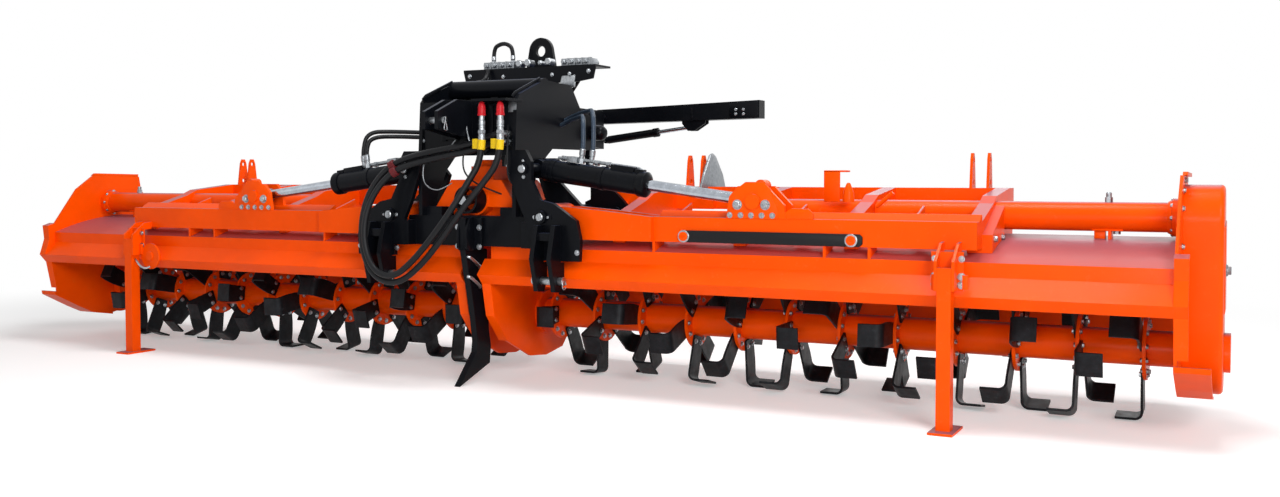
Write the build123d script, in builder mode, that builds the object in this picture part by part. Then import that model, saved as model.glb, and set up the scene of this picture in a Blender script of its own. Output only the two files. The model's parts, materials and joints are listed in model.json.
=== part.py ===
"""Folding six metre rotavator for a tractor's three-point linkage.

Frame: +Y rearwards, away from the tractor, +Z up, and +X to the right for a viewer in front.
The wing on the +X side is named right. The origin lies on the ground under the outline's middle.
All values are in millimetres.
"""
import os
from math import cos, pi, radians, sin, tan

from build123d import *

# ---------------------------------------------------------------- outline
front_reach = 350      # top link bracket's nose, ahead of the beams' front face
rear_reach = 1270      # side arm's rear face, behind the beams' front face
beam_face = (front_reach - rear_reach) / 2   # Y of the wing beams' front face
half_width = 3250      # centre line to the tip of a drive case's hub

# ---------------------------------------------------------------- clearances
pin_gap = 0.3          # radial gap of a pin in its hole
seat_gap = 0.3         # between a piece and what carries it
side_gap = 6           # least gap between bodies that move past each other

# ---------------------------------------------------------------- wing beams and hood
front_beam_deep = 100
front_beam_low = 703
front_beam_high = 110
beam_rim = 27          # height of the bent rim on the front beam's rear edge
beam_inner = 400       # inner end of both beams
rear_beam_front = 680
rear_beam_deep = 100
rear_beam_low = 830
rear_beam_high = 110
member_wide = 60       # cross members between the beams
cheek_thick = 30       # hinge cheeks welded to the beams' sides
cheek_end = 960
gusset_thick = 12
hood_thick = 9
hood_inner = 100       # inner edge of each hood
hood_lip = (-20, 478)  # lower edge of the bevelled bar along the hood's front
hood_nose = (-61, 525)
hood_front = 6         # the hood's upright front strip
strip_low = 598
strip_high = 656
crown_front = (250, 723)
crown = (480, 750)
crown_rear = (680, 703)
hood_rear = (824, 600)
end_plate_thick = 12
end_plate_inner = half_width - 180   # inner face of the outer end plate
beam_end = end_plate_inner - 703     # outer end of both beams
member_places = (700, 1300, 1800)    # inner edges of the cross members inside the outer rail
gusset_places = (950, 1740, 1930)    # upright gussets under the front beam
lug_places = (835, beam_end - 134)   # middles of the twin lugs on the rear beam
inner_plate_thick = 14
edge_bar_wide = 50     # flat bar along the front edge of an end plate
edge_bar_thick = 10
skid_thick = 12
skid_wide = 125

# ---------------------------------------------------------------- fold hinge and its cylinder
hinge_x = 435
hinge_z = 805
hinge_pin_r = 30
hinge_boss_r = 62
cyl_back = 50          # both fold cylinders lie over the front beams' middle
cyl_base_x = 340
cyl_base_z = 1026
base_pin_r = 25
rod_eye_x = 1434
rod_eye_z = 884
barrel_r = 51
barrel_length = 570
rod_r = 24.5
rod_overlap = 100      # rod left inside the barrel at rest
eye_r = 44
eye_wide = 60
pin_head = 14          # a pin's head beyond its outer plate

# ---------------------------------------------------------------- rotor
rotor_back = 480       # rotor axis behind the beams' front face
rotor_high = 300
blade_reach = 293
rotor_tube_r = 72
flange_r = 130
flange_thick = 14
flange_first = 205
flange_last = end_plate_inner - 125
flange_count = 12
blade_root = 75
blade_thick = 10
blade_wide = 96
blade_side = 108       # how far a blade's foot reaches sideways
blade_bend = 24        # inner radius of a blade's bend
blades_per_side = 3
helix_step = 25        # degrees from one flange to the next
shaft_r = 35

# ---------------------------------------------------------------- drive line
drive_back = 400
drive_high = 830
drive_tube_r = 59
drive_flange_r = 75
drive_flange_thick = 30
case_top_r = 130
case_low_r = 165
case_low_high = 300   # height of the case's lower round, below the rotor's axis
case_face = half_width - 25
case_edge = 18
hub_r = 78

# ---------------------------------------------------------------- centre frame and tower
hitch_spacing = 965    # between the lower link clevises' centres
link_pin_r = 18.3
link_pin_back = -115
link_high = 517
link_gap = 70          # inside a lower link clevis
link_plate = 22
top_pin_high = 1246
top_pin_r = 15.8
top_pin_back = -310
top_plate = 18
top_gap = 52           # inside the top link clevis
front_plate_face = -100
front_plate_thick = 25
rail_low = 765
rail_high = 845
tower_half = 280
tower_plate = 20
tower_front = -60
tower_top = 1465
tower_low = 1125       # underside of the tower's side plates, between its legs
tower_tube_r = 45
tower_tube_back = 185
input_high = 880
input_r = 22.2
tray_high = tower_top + 75
eye_top = tray_high + 174

# ---------------------------------------------------------------- parking stands
stand_x = beam_end - 97
stand_back = -102
stand_tube = 55
stand_wall = 5
stand_top = 640
stand_foot = 10
stand_rear = stand_back + stand_tube / 2 + seat_gap

# ---------------------------------------------------------------- tailboard
tail_hinge_back = 848
tail_hinge_high = 585
tail_rod_r = 8
tail_tube_r = 15
tail_low = 290
knuckle_wide = 30
knuckle_gap = 3
knuckle_places = (1060, 2060)

# ---------------------------------------------------------------- side arm and its cylinder
arm_deep = 80
arm_front = rear_reach - arm_deep
arm_pivot_x = 40
arm_pivot_z = 1322
arm_pin_r = 20
arm_end = 985
mast_back = arm_front - 30   # rear face of the mast that carries the arm
mast_half = 60
lift_base_z = 1197
lift_eye_x = 580
lift_eye_z = 1262
lift_barrel_r = 22
lift_rod_r = 11
lift_barrel_length = 330
lift_eye_r = 19
lift_eye_wide = 24
lift_back = arm_front + arm_deep / 2
lift_pin_r = 10
lift_overlap = 150     # rod left inside the barrel at rest

# ---------------------------------------------------------------- hoses
hose_r = 15
lay_share = 0.45       # share of the shorter run that an arc's tangent takes

sides = (("left", -1), ("right", 1))
os.makedirs("parts", exist_ok=True)


def back(y):
    """Y in the part's frame of a place measured back from the beams' front face."""
    return beam_face + y


def block(x, y, z, mode=Mode.ADD):
    """A box between two places along each axis; y is measured from the beams' front face."""
    sizes = [abs(v[1] - v[0]) for v in (x, y, z)]
    middle = (sum(x) / 2, back(sum(y) / 2), sum(z) / 2)
    with Locations(middle):
        Box(*sizes, mode=mode)


def plate_across(points, x, mode=Mode.ADD):
    """A plate square to X: an outline of (y, z) points between two places along X."""
    with BuildSketch(Plane.YZ.offset(min(x))) as outline:
        with BuildLine():
            Polyline(*[(back(y), z) for y, z in points], close=True)
        make_face()
    extrude(outline.sketch, amount=abs(x[1] - x[0]), mode=mode)


def plate_along(points, y, mode=Mode.ADD):
    """A plate square to Y: an outline of (x, z) points between two places along Y."""
    with BuildSketch(Plane.XZ.offset(-back(max(y)))) as outline:
        with BuildLine():
            Polyline(*points, close=True)
        make_face()
    extrude(outline.sketch, amount=abs(y[1] - y[0]), mode=mode)


def round_x(y, z, r, x, mode=Mode.ADD):
    """A round bar along X."""
    with BuildSketch(Plane.YZ.offset(min(x))) as outline:
        with Locations((back(y), z)):
            Circle(r)
    extrude(outline.sketch, amount=abs(x[1] - x[0]), mode=mode)


def round_y(x, z, r, y, mode=Mode.ADD):
    """A round bar along Y."""
    with BuildSketch(Plane.XZ.offset(-back(max(y)))) as outline:
        with Locations((x, z)):
            Circle(r)
    extrude(outline.sketch, amount=abs(y[1] - y[0]), mode=mode)


def hood_sheet(x, rise, thick, mode=Mode.ADD):
    """The hood's bent sheet between two places along X, lifted by rise and thick below that."""
    def at(point, drop=0):
        return back(point[0]), point[1] + rise - drop

    with BuildSketch(Plane.YZ.offset(min(x))) as outline:
        with BuildLine():
            upper = Polyline(at((hood_front, strip_low), rise), at((hood_front, strip_high)))
            arc = ThreePointArc(upper @ 1, at(crown_front), at(crown))
            arc = ThreePointArc(arc @ 1, at(crown_rear), at(hood_rear))
            inner = Line(arc @ 1, at((hood_rear[0] - thick * 0.6, hood_rear[1]), thick * 0.8))
            arc = ThreePointArc(inner @ 1, at(crown_rear, thick), at(crown, thick))
            arc = ThreePointArc(arc @ 1, at(crown_front, thick),
                                at((hood_front + thick, strip_high), thick * 0.3))
            inner = Line(arc @ 1, at((hood_front + thick, strip_low), rise))
            Line(inner @ 1, upper @ 0)
        make_face()
    extrude(outline.sketch, amount=abs(x[1] - x[0]), mode=mode)


def finish(piece, name):
    """Labels a finished piece and writes it under the same name."""
    piece.part.label = name
    export_step(piece.part, f"parts/{name}.step")


# ================================================================ centre frame
front_plate = (front_plate_face, front_plate_face + front_plate_thick)
second_front = front_beam_deep + cheek_thick + 15
second_plate = (second_front, second_front + front_plate_thick)
rear_cheek_front = rear_beam_front - cheek_thick
rear_cheek_back = rear_beam_front + rear_beam_deep + cheek_thick
rear_plate_front = (rear_cheek_front - 30, rear_cheek_front - side_gap)
rear_plate_back = (rear_cheek_back + side_gap, rear_cheek_back + 30)
cross_low = 660
cross_high = 803
cross_half = 365
cross_front = -40
rail_inner = 170
rail_outer = 290
leg_inner = [(242, 1113), (262, 998), (304, 882)]   # inner edge shared by the front and rear leg plates
front_outline = [
    *leg_inner, (348, 791), (348, cross_low), (412, cross_low), (412, 607), (635, 607), (640, 706),
    (620, 791), (499, 868), (429, 883), (380, 975), (380, 1060), (350, 1113),
]
second_outline = [
    (250, 770), (390, 740), (500, 745), (505, 850), (390, 960), (384, 1045), (360, 1078), (290, 1078),
    (290, 1030), (262, 998), (304, 882), (250, 860),
]
rear_outline = [
    (250, 770), (330, 750), (420, 740), (490, 785), (490, 850), (440, 900), (300, 1000), (285, 1060),
    (285, tower_low), (242, tower_low), *leg_inner[1:], (250, 860),
]
outer_outline = [
    (rail_inner, 745), (420, 740), (490, 785), (490, 850), (430, 890), (rail_inner, 960),
]
leg_plates = (
    (front_outline, front_plate), (second_outline, second_plate), (rear_outline, rear_plate_front),
    (outer_outline, rear_plate_back),
)

with BuildPart() as centre_frame:
    # cross beam between the wings' inner ends, ahead of their hoods
    block((-cross_half, cross_half), (cross_front, -6), (cross_low, cross_high))
    block((-cross_half, cross_half), (cross_front, 40), (745, cross_high))
    for side, s in sides:
        for outline, place in leg_plates:
            plate_along([(s * x, z) for x, z in outline], place)
            round_y(s * hinge_x, hinge_z, hinge_pin_r + pin_gap, place, Mode.SUBTRACT)
        for place in (front_plate, second_plate):
            round_y(s * cyl_base_x, cyl_base_z, base_pin_r + pin_gap, place, Mode.SUBTRACT)
        # webs from the front leg plate back to the cross beam, and rails on to the rear hinge
        block((s * 325, s * 360), (front_plate[0], cross_front), (cross_low, 780))
        block((s * rail_inner, s * rail_outer), (cross_front, rear_plate_back[1]), (rail_low, rail_high))
    block((-rail_inner, rail_inner), (560, 640), (rail_low, rail_high))
finish(centre_frame, "centre_frame")

for side, s in sides:
    middle = s * hitch_spacing / 2
    with BuildPart() as hitch_plates:
        for inner in (middle - link_gap / 2 - link_plate, middle + link_gap / 2):
            plate_across(
                [(-190, 620), (-150, 470), (-95, 465), (-70, 520), (-70, 600), (front_plate_face, 600),
                 (front_plate_face, 770), (-150, 770)],
                (inner, inner + link_plate),
            )
        block((middle - link_gap / 2, middle + link_gap / 2), (-150, front_plate_face), (700, 735))
        round_x(link_pin_back, link_high, link_pin_r + pin_gap, (middle - 90, middle + 90), Mode.SUBTRACT)
    finish(hitch_plates, f"hitch_plates_{side}")
    with BuildPart() as link_pin:
        pin_half = link_gap / 2 + link_plate + pin_head
        round_x(link_pin_back, link_high, link_pin_r, (middle - pin_half, middle + pin_half))
    finish(link_pin, f"lower_link_pin_{side}")
    with BuildPart() as hinge_pins:
        front_span = (front_plate[0] - pin_head, second_plate[1] + pin_head)
        round_y(s * hinge_x, hinge_z, hinge_pin_r, front_span)
        round_y(s * hinge_x, hinge_z, hinge_pin_r,
                (rear_plate_front[0] - pin_head, rear_plate_back[1] + pin_head))
        round_y(s * cyl_base_x, cyl_base_z, base_pin_r, front_span)
    finish(hinge_pins, f"hinge_pins_{side}")

panel_low = 1090
panel_top = 1347
panel_back = tower_front + 20
parking_bar = ((120, 310), (tower_front - 140, tower_front), (1335, panel_top))
tower_outline = [
    (front_plate[1], cross_high), (cross_front, cross_high), (cross_front, rail_high), (25, rail_high),
    (68, 924), (126, 1023), (193, 1084), (253, tower_low),
    (rear_plate_front[1], tower_low), (rear_plate_front[1], 1290), (518, 1337), (430, tower_top - 20),
    (tower_tube_back, tower_top - 10), (-29, 1378), (tower_front, panel_top), (front_plate[1], 1113),
]
mast_outline = [
    (500, 1200), (mast_back, 1145), (mast_back, 1358), (895, 1362), (790, tower_top - 10),
    (500, tower_top - 10),
]
with BuildPart() as tower:
    for s in (-1, 1):
        plate_across(tower_outline, (s * tower_half, s * (tower_half - tower_plate)))
        plate_across(mast_outline, (s * mast_half, s * (mast_half - 15)))
    block((-tower_half, tower_half), (tower_front, panel_back), (panel_low, panel_top))
    round_x(tower_tube_back, tower_top - tower_tube_r, tower_tube_r, (-tower_half, tower_half))
    block((-tower_half, tower_half), (panel_back, 600), (1180, 1200))
    block((-tower_half, tower_half), (tower_tube_back, 430), (tower_top - 40, tower_top - 20))
    block((-mast_half, mast_half), (420, 620), (tower_top - 30, tower_top))
    plate_across([(100, 1190), (620, 1190), (620, tower_top), (tower_tube_back, tower_top - 20)], (-20, 20))
    block(*parking_bar)
    # mast that carries the side arm
    block((-mast_half, mast_half), (mast_back - 15, mast_back), (1145, 1358))
    block((-mast_half, mast_half), (560, mast_back), (1212, 1250))
finish(tower, "tower")

with BuildPart() as top_link_bracket:
    for s in (-1, 1):
        plate_across(
            [(-front_reach, top_pin_high - 40), (tower_front - 25, 1166), (tower_front - 25, panel_top),
             (-200, panel_top), (-front_reach, top_pin_high + 40)],
            (s * top_gap / 2, s * (top_gap / 2 + top_plate)),
        )
    block((-110, 110), (tower_front - 25, tower_front), (1166, panel_top))
    round_x(top_pin_back, top_pin_high, top_pin_r + pin_gap, (-tower_half, tower_half), Mode.SUBTRACT)
finish(top_link_bracket, "top_link_bracket")

with BuildPart() as top_link_pin:
    pin_half = top_gap / 2 + top_plate + pin_head
    round_x(top_pin_back, top_pin_high, top_pin_r, (-pin_half, pin_half))
finish(top_link_pin, "top_link_pin")

gearbox_shoulder = 975
guard_back = 0
guard_front = -80
guard_r = 66
input_boss_r = 75
with BuildPart() as gearbox:
    block((-rail_inner, rail_inner), (60, 540), (rail_low, rail_high))
    with BuildSketch(Plane.XY.offset(rail_high)):
        with Locations((0, back(200))):
            Rectangle(470, 390)
    with BuildSketch(Plane.XY.offset(gearbox_shoulder)):
        with Locations((0, back(165))):
            Rectangle(290, 320)
    loft()
    block((-65, 65), (60, 190), (gearbox_shoulder, 1040))
    block((-40, 40), (80, 170), (1040, 1072))
    round_y(0, input_high, input_boss_r, (guard_back, 120))
finish(gearbox, "centre_gearbox")

with BuildPart() as input_shaft:
    round_y(0, input_high, input_r, (-110, -30))
    round_y(0, input_high, input_r - 3, (-30, guard_back - seat_gap))
finish(input_shaft, "input_shaft")

with BuildPart() as input_guard:
    round_y(0, input_high, guard_r, (guard_front, guard_back))
    round_y(0, input_high, guard_r - 10, (guard_front, guard_back), Mode.SUBTRACT)
finish(input_guard, "input_guard")

holder = (cross_front - 18, cross_front)
with BuildPart() as ripper:
    block((-75, 75), holder, (645, 795))
    plate_across(
        [(-105, 795), (-105, 640), (-57, 448), (-26, 301), (-10, 200), (-17, 148), (-155, 0), (94, 82),
         (103, 166), (87, 242), (79, 389), (73, 640), (cross_front, 652), (cross_front, 795)],
        (-16, 16),
    )
finish(ripper, "ripper_tine")

tray_span = (465, 620)
valve_banks = ((-290, -100), (185, 352))
valve_tall = 40
with BuildPart() as tray:
    block((-400, 400), tray_span, (tray_high, tray_high + 10))
    plate_along([(-400, tray_high), (400, tray_high), (385, tray_high - 60), (280, tower_top),
                 (-280, tower_top),
                 (-385, tray_high - 60)], (tray_span[0], tray_span[0] + 10))
    block((-50, 50), (500, 590), (tower_top, tray_high))
finish(tray, "valve_tray")

with BuildPart() as valves:
    for bank in valve_banks:
        block(bank, (490, 575), (tray_high + 10, tray_high + 10 + valve_tall))
finish(valves, "valve_blocks")

eye_round = 70         # radius of the lifting eye's head
eye_hole_r = 28
eye_plate = (590, 612)
with BuildPart() as lifting_eye:
    with BuildSketch(Plane.XZ.offset(-back(eye_plate[1]))) as outline:
        with Locations((0, eye_top - eye_round)):
            Circle(eye_round)
        with Locations((0, tray_high + 20)):
            Rectangle(170, 20)
        make_hull()
    extrude(outline.sketch, amount=eye_plate[1] - eye_plate[0])
    round_y(0, eye_top - eye_round, eye_hole_r, eye_plate, Mode.SUBTRACT)
finish(lifting_eye, "lifting_eye")

# ================================================================ side arm and its cylinder
lug_faces = (lift_eye_wide / 2 + 2, lift_eye_wide / 2 + 12)
with BuildPart() as side_arm:
    plate_along(
        [(arm_pivot_x - 40, arm_pivot_z - 34), (arm_end, arm_pivot_z - 22), (arm_end, arm_pivot_z + 74),
         (arm_pivot_x - 40, arm_pivot_z + 46)],
        (arm_front, rear_reach),
    )
    for out in (-1, 1):
        plate_along([(525, arm_pivot_z - 10), (525, 1280), (560, 1240), (600, 1240), (665, 1280),
                     (665, arm_pivot_z - 10)],
                     (lift_back + out * lug_faces[0], lift_back + out * lug_faces[1]))
    round_y(arm_pivot_x, arm_pivot_z, arm_pin_r + pin_gap, (arm_front, rear_reach), Mode.SUBTRACT)
finish(side_arm, "side_arm")

with BuildPart() as arm_pin:
    round_y(arm_pivot_x, arm_pivot_z, arm_pin_r, (mast_back, rear_reach))
    round_y(arm_pivot_x, lift_base_z, lift_pin_r, (mast_back, lift_back + lift_eye_wide / 2))
finish(arm_pin, "arm_pin")


def cylinder(name, base, tip, barrel, rod, eye, overlap):
    """A barrel and a rod between two eyes.

    barrel gives its radius and length, rod its radius, and eye its radius, its width and its pin's radius.
    """
    run = tip - base
    way = run.normalized()
    eye_y = (base.Y - beam_face - eye[1] / 2, base.Y - beam_face + eye[1] / 2)
    root = eye[0] * 0.7
    with BuildPart() as barrel_piece:
        with BuildSketch(Plane(origin=base + way * root, z_dir=way)):
            Circle(barrel[0])
        extrude(amount=barrel[1] - root)
        with BuildSketch(Plane(origin=base + way * (root + barrel[0] * 0.8), z_dir=way)):
            Circle(rod + pin_gap)
        extrude(amount=barrel[1], mode=Mode.SUBTRACT)
        round_y(base.X, base.Z, eye[0], eye_y)
        round_y(base.X, base.Z, eye[2] + pin_gap, (eye_y[0] - barrel[0], eye_y[1] + barrel[0]),
                Mode.SUBTRACT)
    finish(barrel_piece, name.format("barrel"))
    with BuildPart() as rod_piece:
        round_y(tip.X, tip.Z, eye[0], eye_y)
        with BuildSketch(Plane(origin=base + way * (barrel[1] - overlap), z_dir=way)):
            Circle(rod)
        extrude(amount=run.length - barrel[1] + overlap)
    finish(rod_piece, name.format("rod"))


cylinder("arm_{}", Vector(arm_pivot_x, back(lift_back), lift_base_z),
         Vector(lift_eye_x, back(lift_back), lift_eye_z),
         (lift_barrel_r, lift_barrel_length), lift_rod_r, (lift_eye_r, lift_eye_wide, lift_pin_r),
         lift_overlap)

# ================================================================ wings
with BuildPart() as blade:
    bend_start = blade_reach - blade_bend - blade_thick
    with BuildSketch(Plane.XZ) as profile:
        with BuildLine():
            flat = Line((blade_root, 0), (bend_start, 0))
            outer = RadiusArc(flat @ 1, (blade_reach, blade_bend + blade_thick),
                              -(blade_bend + blade_thick))
            side_out = Line(outer @ 1, (blade_reach, blade_side))
            edge = Line(side_out @ 1, (blade_reach - blade_thick, blade_side))
            side_in = Line(edge @ 1, (blade_reach - blade_thick, blade_bend + blade_thick))
            inner = RadiusArc(side_in @ 1, (bend_start, blade_thick), blade_bend)
            root = Line(inner @ 1, (blade_root, blade_thick))
            Line(root @ 1, flat @ 0)
        make_face()
    extrude(profile.sketch, amount=blade_wide, both=True)
    with BuildSketch() as plan:
        with BuildLine():
            lead = Polyline((blade_reach, -56), (blade_root, -40), (blade_root, 40))
            sweep_back = Spline(lead @ 1, (190, 52), (blade_reach, 40))
            Line(sweep_back @ 1, lead @ 0)
        make_face()
    extrude(plan.sketch, amount=blade_side, mode=Mode.INTERSECT)

hub_pod = 20           # bearing pod on an inner plate
rotor_inner = hood_inner + hub_pod + side_gap
rotor_outer = end_plate_inner - 10
case_inner = end_plate_inner + end_plate_thick
flange_pitch = (flange_last - flange_first) / (flange_count - 1)
end_outline = [
    (277, 996), (617, 989), (632, 902), (870, 640), (880, 420), (720, 190), (406, 135), (268, 160),
    (181, 200), (16, 286), (13, 321), hood_lip, hood_nose, (-30, 618), (-39, 697), (7, 711), (157, 912),
]
inner_outline = [
    (hood_front, strip_high), (hood_front, strip_low), hood_nose, hood_lip, (13, 321), (120, 190),
    (330, 90),
    (480, 75), (640, 100), (760, 220), (840, 420), hood_rear, crown_rear, (580, 733), crown, (360, 745),
    crown_front, (120, 694),
]
edge_bar = [
    (7, 711), (-39, 697), (-30, 618), hood_nose, hood_lip, (13, 321), (13 + edge_bar_thick, 321),
    (hood_lip[0] + edge_bar_thick, hood_lip[1] + 2), (hood_nose[0] + 14, hood_nose[1] + 2), (-19, 618),
    (-28, 688), (7, 700),
]
inner_bar = [
    (hood_front, strip_low), hood_nose, hood_lip, (13, 321), (120, 190), (127, 198),
    (13 + edge_bar_thick, 325),
    (hood_lip[0] + edge_bar_thick, hood_lip[1] + 2), (hood_nose[0] + 14, hood_nose[1] + 2),
    (hood_front, strip_low - 13),
]
end_skid = [
    (13, 300), (16, 286), (181, 200), (268, 160), (406, 135), (406, 135 - skid_thick), (264, 148),
    (174, 190),
    (6, 278), (1, 300),
]
member_outline = [
    (front_beam_deep, strip_low), (front_beam_deep, front_beam_low + front_beam_high), (330, 880),
    (400, 910),
    (rear_beam_front, 940), (rear_beam_front, rear_beam_low), (rear_beam_front + 80, rear_beam_low),
    (rear_beam_front + 80, strip_low),
]
beam_top = front_beam_low + front_beam_high
cheek_outline = [
    (560, front_beam_low), (cheek_end, front_beam_low), (cheek_end, beam_top), (700, 838), (520, 852),
    (beam_inner, 852), (beam_inner, 760),
]
rear_cheek_outline = [
    (560, rear_beam_low), (cheek_end, rear_beam_low), (cheek_end, 930), (560, 930), (480, 850),
    (beam_inner, 850), (beam_inner, 760),
]
bracket_outline = [
    (rod_eye_x - 124, beam_top), (rod_eye_x + 146, beam_top), (rod_eye_x + 140, 870), (rod_eye_x + 60, 950),
    (rod_eye_x - 70, 950), (rod_eye_x - 110, 905),
]
rear_top = rear_beam_low + rear_beam_high

for side, s in sides:
    with BuildPart() as wing_frame:
        block((s * beam_inner, s * beam_end), (0, front_beam_deep), (front_beam_low, beam_top))
        plate_across([(50, beam_top), (front_beam_deep, beam_top), (front_beam_deep, beam_top + beam_rim),
                      (front_beam_deep - 8, beam_top + beam_rim)], (s * cheek_end, s * beam_end))
        block((s * beam_inner, s * beam_end), (rear_beam_front, rear_beam_front + rear_beam_deep),
              (rear_beam_low, rear_top))
        for x in (*member_places, beam_end - member_wide):
            plate_across(member_outline, (s * x, s * (x + member_wide)))
        for x in gusset_places:
            plate_across([(hood_front, front_beam_low), (hood_front, strip_low),
                          (front_beam_deep, strip_low),
                          (front_beam_deep, front_beam_low)], (s * x, s * (x + gusset_thick)))
        for y in ((-cheek_thick, 0), (front_beam_deep, front_beam_deep + cheek_thick)):
            plate_along([(s * x, z) for x, z in cheek_outline], y)
        for y in ((rear_cheek_front, rear_beam_front), (rear_beam_front + rear_beam_deep, rear_cheek_back)):
            plate_along([(s * x, z) for x, z in rear_cheek_outline], y)
        for y in ((-cheek_thick, front_beam_deep + cheek_thick), (rear_cheek_front, rear_cheek_back)):
            round_y(s * hinge_x, hinge_z, hinge_boss_r, y)
            round_y(s * hinge_x, hinge_z, hinge_pin_r + pin_gap, y, Mode.SUBTRACT)
        # rod eye bracket, with the pin's heads on its cheeks
        eye_room = eye_wide / 2 + side_gap
        for out in (-1, 1):
            near, far = cyl_back + out * eye_room, cyl_back + out * (eye_room + 20)
            plate_along([(s * x, z) for x, z in bracket_outline], (near, far))
            round_y(s * rod_eye_x, rod_eye_z, base_pin_r + 8, (far, far + out * pin_head))
        # twin lugs on the rear beam
        for x in lug_places:
            for out in (-1, 1):
                inner, outer = s * (x + out * 31), s * (x + out * 43)
                plate_across([(690, rear_top), (770, rear_top), (752, 1070), (740, 1096), (720, 1096),
                              (708, 1070)],
                             (inner, outer))
                for z in (965, 1066):
                    round_x(730, z, 12, (inner, outer), Mode.SUBTRACT)
        # stand bracket: two side plates and a flanged back plate
        for x in (stand_x - stand_tube / 2 - 12 - seat_gap, stand_x + stand_tube / 2 + seat_gap):
            plate_across([(0, front_beam_low - 10), (0, 735), (-45, 730), (-128, 665), (-128, 550),
                          (stand_rear + 9, 550), (stand_rear + 9, 690)], (s * x, s * (x + 12)))
        block((s * (stand_x - 62), s * (stand_x + 62)), (stand_rear, stand_rear + 9), (550, 700))
        # side plate from the outer rail down to the hood
        plate_across([(front_beam_deep, strip_low), (front_beam_deep, 760), (350, 870), (350, strip_low)],
                     (s * beam_end, s * (beam_end + 40)))
        hood_sheet((s * hood_inner, s * end_plate_inner), seat_gap, 200, Mode.SUBTRACT)
        round_x(drive_back, drive_high, drive_tube_r + seat_gap,
                (s * (member_places[1] + member_wide), s * end_plate_inner), Mode.SUBTRACT)
    finish(wing_frame, f"wing_frame_{side}")

    with BuildPart() as hood:
        hood_sheet((s * hood_inner, s * end_plate_inner), 0, hood_thick)
        plate_across([hood_lip, hood_nose, (hood_front, strip_low), (hood_front + hood_thick, strip_low),
                      (hood_front + hood_thick, strip_low - 4), (hood_nose[0] + 15, hood_nose[1] + 1),
                      (hood_lip[0] + 6, hood_lip[1] + 8)], (s * hood_inner, s * end_plate_inner))
        round_x(tail_hinge_back, tail_hinge_high, tail_rod_r, (s * hood_inner, s * end_plate_inner))
        for x in (hood_inner, *knuckle_places, end_plate_inner - knuckle_wide):
            plate_across([(hood_rear[0] - 12, hood_rear[1] + 5), (hood_rear[0] - 2, hood_rear[1] - 3),
                          (hood_rear[0] + 2, hood_rear[1] + 2),
                          (tail_hinge_back + 12, tail_hinge_high + 8),
                          (tail_hinge_back + 12, tail_hinge_high - 12),
                          (tail_hinge_back - 12, tail_hinge_high - 12)], (s * x, s * (x + knuckle_wide)))
    finish(hood, f"hood_{side}")

    tail_inner = hood_inner + knuckle_wide + knuckle_gap
    tail_outer = end_plate_inner - knuckle_wide - knuckle_gap
    with BuildPart() as tailboard:
        round_x(tail_hinge_back, tail_hinge_high, tail_tube_r, (s * tail_inner, s * tail_outer))
        plate_across([(tail_hinge_back + 4, tail_hinge_high - 13),
                      (tail_hinge_back + 13, tail_hinge_high - 13),
                      (tail_hinge_back + 22, 420), (tail_hinge_back + 60, tail_low),
                      (tail_hinge_back + 50, tail_low), (tail_hinge_back + 13, 420)],
                     (s * tail_inner, s * tail_outer))
        round_x(tail_hinge_back, tail_hinge_high, tail_rod_r + pin_gap, (0, s * half_width), Mode.SUBTRACT)
        for x in knuckle_places:
            block((s * (x - knuckle_gap), s * (x + knuckle_wide + knuckle_gap)),
                  (tail_hinge_back - 30, tail_hinge_back + 30),
                  (tail_hinge_high - 40, tail_hinge_high + 35),
                  Mode.SUBTRACT)
    finish(tailboard, f"tailboard_{side}")

    with BuildPart() as end_plate:
        plate_across(end_outline, (s * end_plate_inner, s * case_inner))
        plate_across(edge_bar, (s * end_plate_inner, s * (end_plate_inner + edge_bar_wide)))
        round_x(rotor_back, rotor_high, shaft_r + pin_gap, (s * end_plate_inner, s * case_inner),
                Mode.SUBTRACT)
    finish(end_plate, f"end_plate_{side}")

    with BuildPart() as skid:
        plate_across(end_skid, (s * end_plate_inner, s * (end_plate_inner + skid_wide)))
    finish(skid, f"skid_{side}")

    with BuildPart() as inner_plate:
        plate_across(inner_outline, (s * (hood_inner - inner_plate_thick), s * hood_inner))
        plate_across(inner_bar, (s * (hood_inner - edge_bar_wide), s * hood_inner))
        round_x(rotor_back, rotor_high, 110, (s * hood_inner, s * (hood_inner + hub_pod)))
        round_x(rotor_back, rotor_high, shaft_r + pin_gap, (s * 60, s * (hood_inner + hub_pod)),
                Mode.SUBTRACT)
    finish(inner_plate, f"inner_plate_{side}")

    with BuildPart() as drive_case:
        with BuildSketch(Plane.YZ.offset(min(s * case_inner, s * case_face))) as case_outline:
            with Locations((back(drive_back), drive_high)):
                Circle(case_top_r)
            with Locations((back(rotor_back), case_low_high)):
                Circle(case_low_r)
            make_hull()
        extrude(case_outline.sketch, amount=case_face - case_inner)
        outer_face = drive_case.faces().sort_by(Axis.X)[-1 if s > 0 else 0]
        fillet(outer_face.edges(), case_edge)
        round_x(rotor_back, rotor_high, hub_r, (s * (case_face - 5), s * half_width))
        round_x(rotor_back, rotor_high, shaft_r + pin_gap, (s * case_inner, s * (case_inner + 60)),
                Mode.SUBTRACT)
    finish(drive_case, f"drive_case_{side}")

    with BuildPart() as drive_tube:
        round_x(drive_back, drive_high, drive_tube_r,
                (s * (member_places[1] + member_wide), s * end_plate_inner))
        round_x(drive_back, drive_high, drive_flange_r,
                (s * (end_plate_inner - drive_flange_thick), s * end_plate_inner))
    finish(drive_tube, f"drive_tube_{side}")

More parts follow.
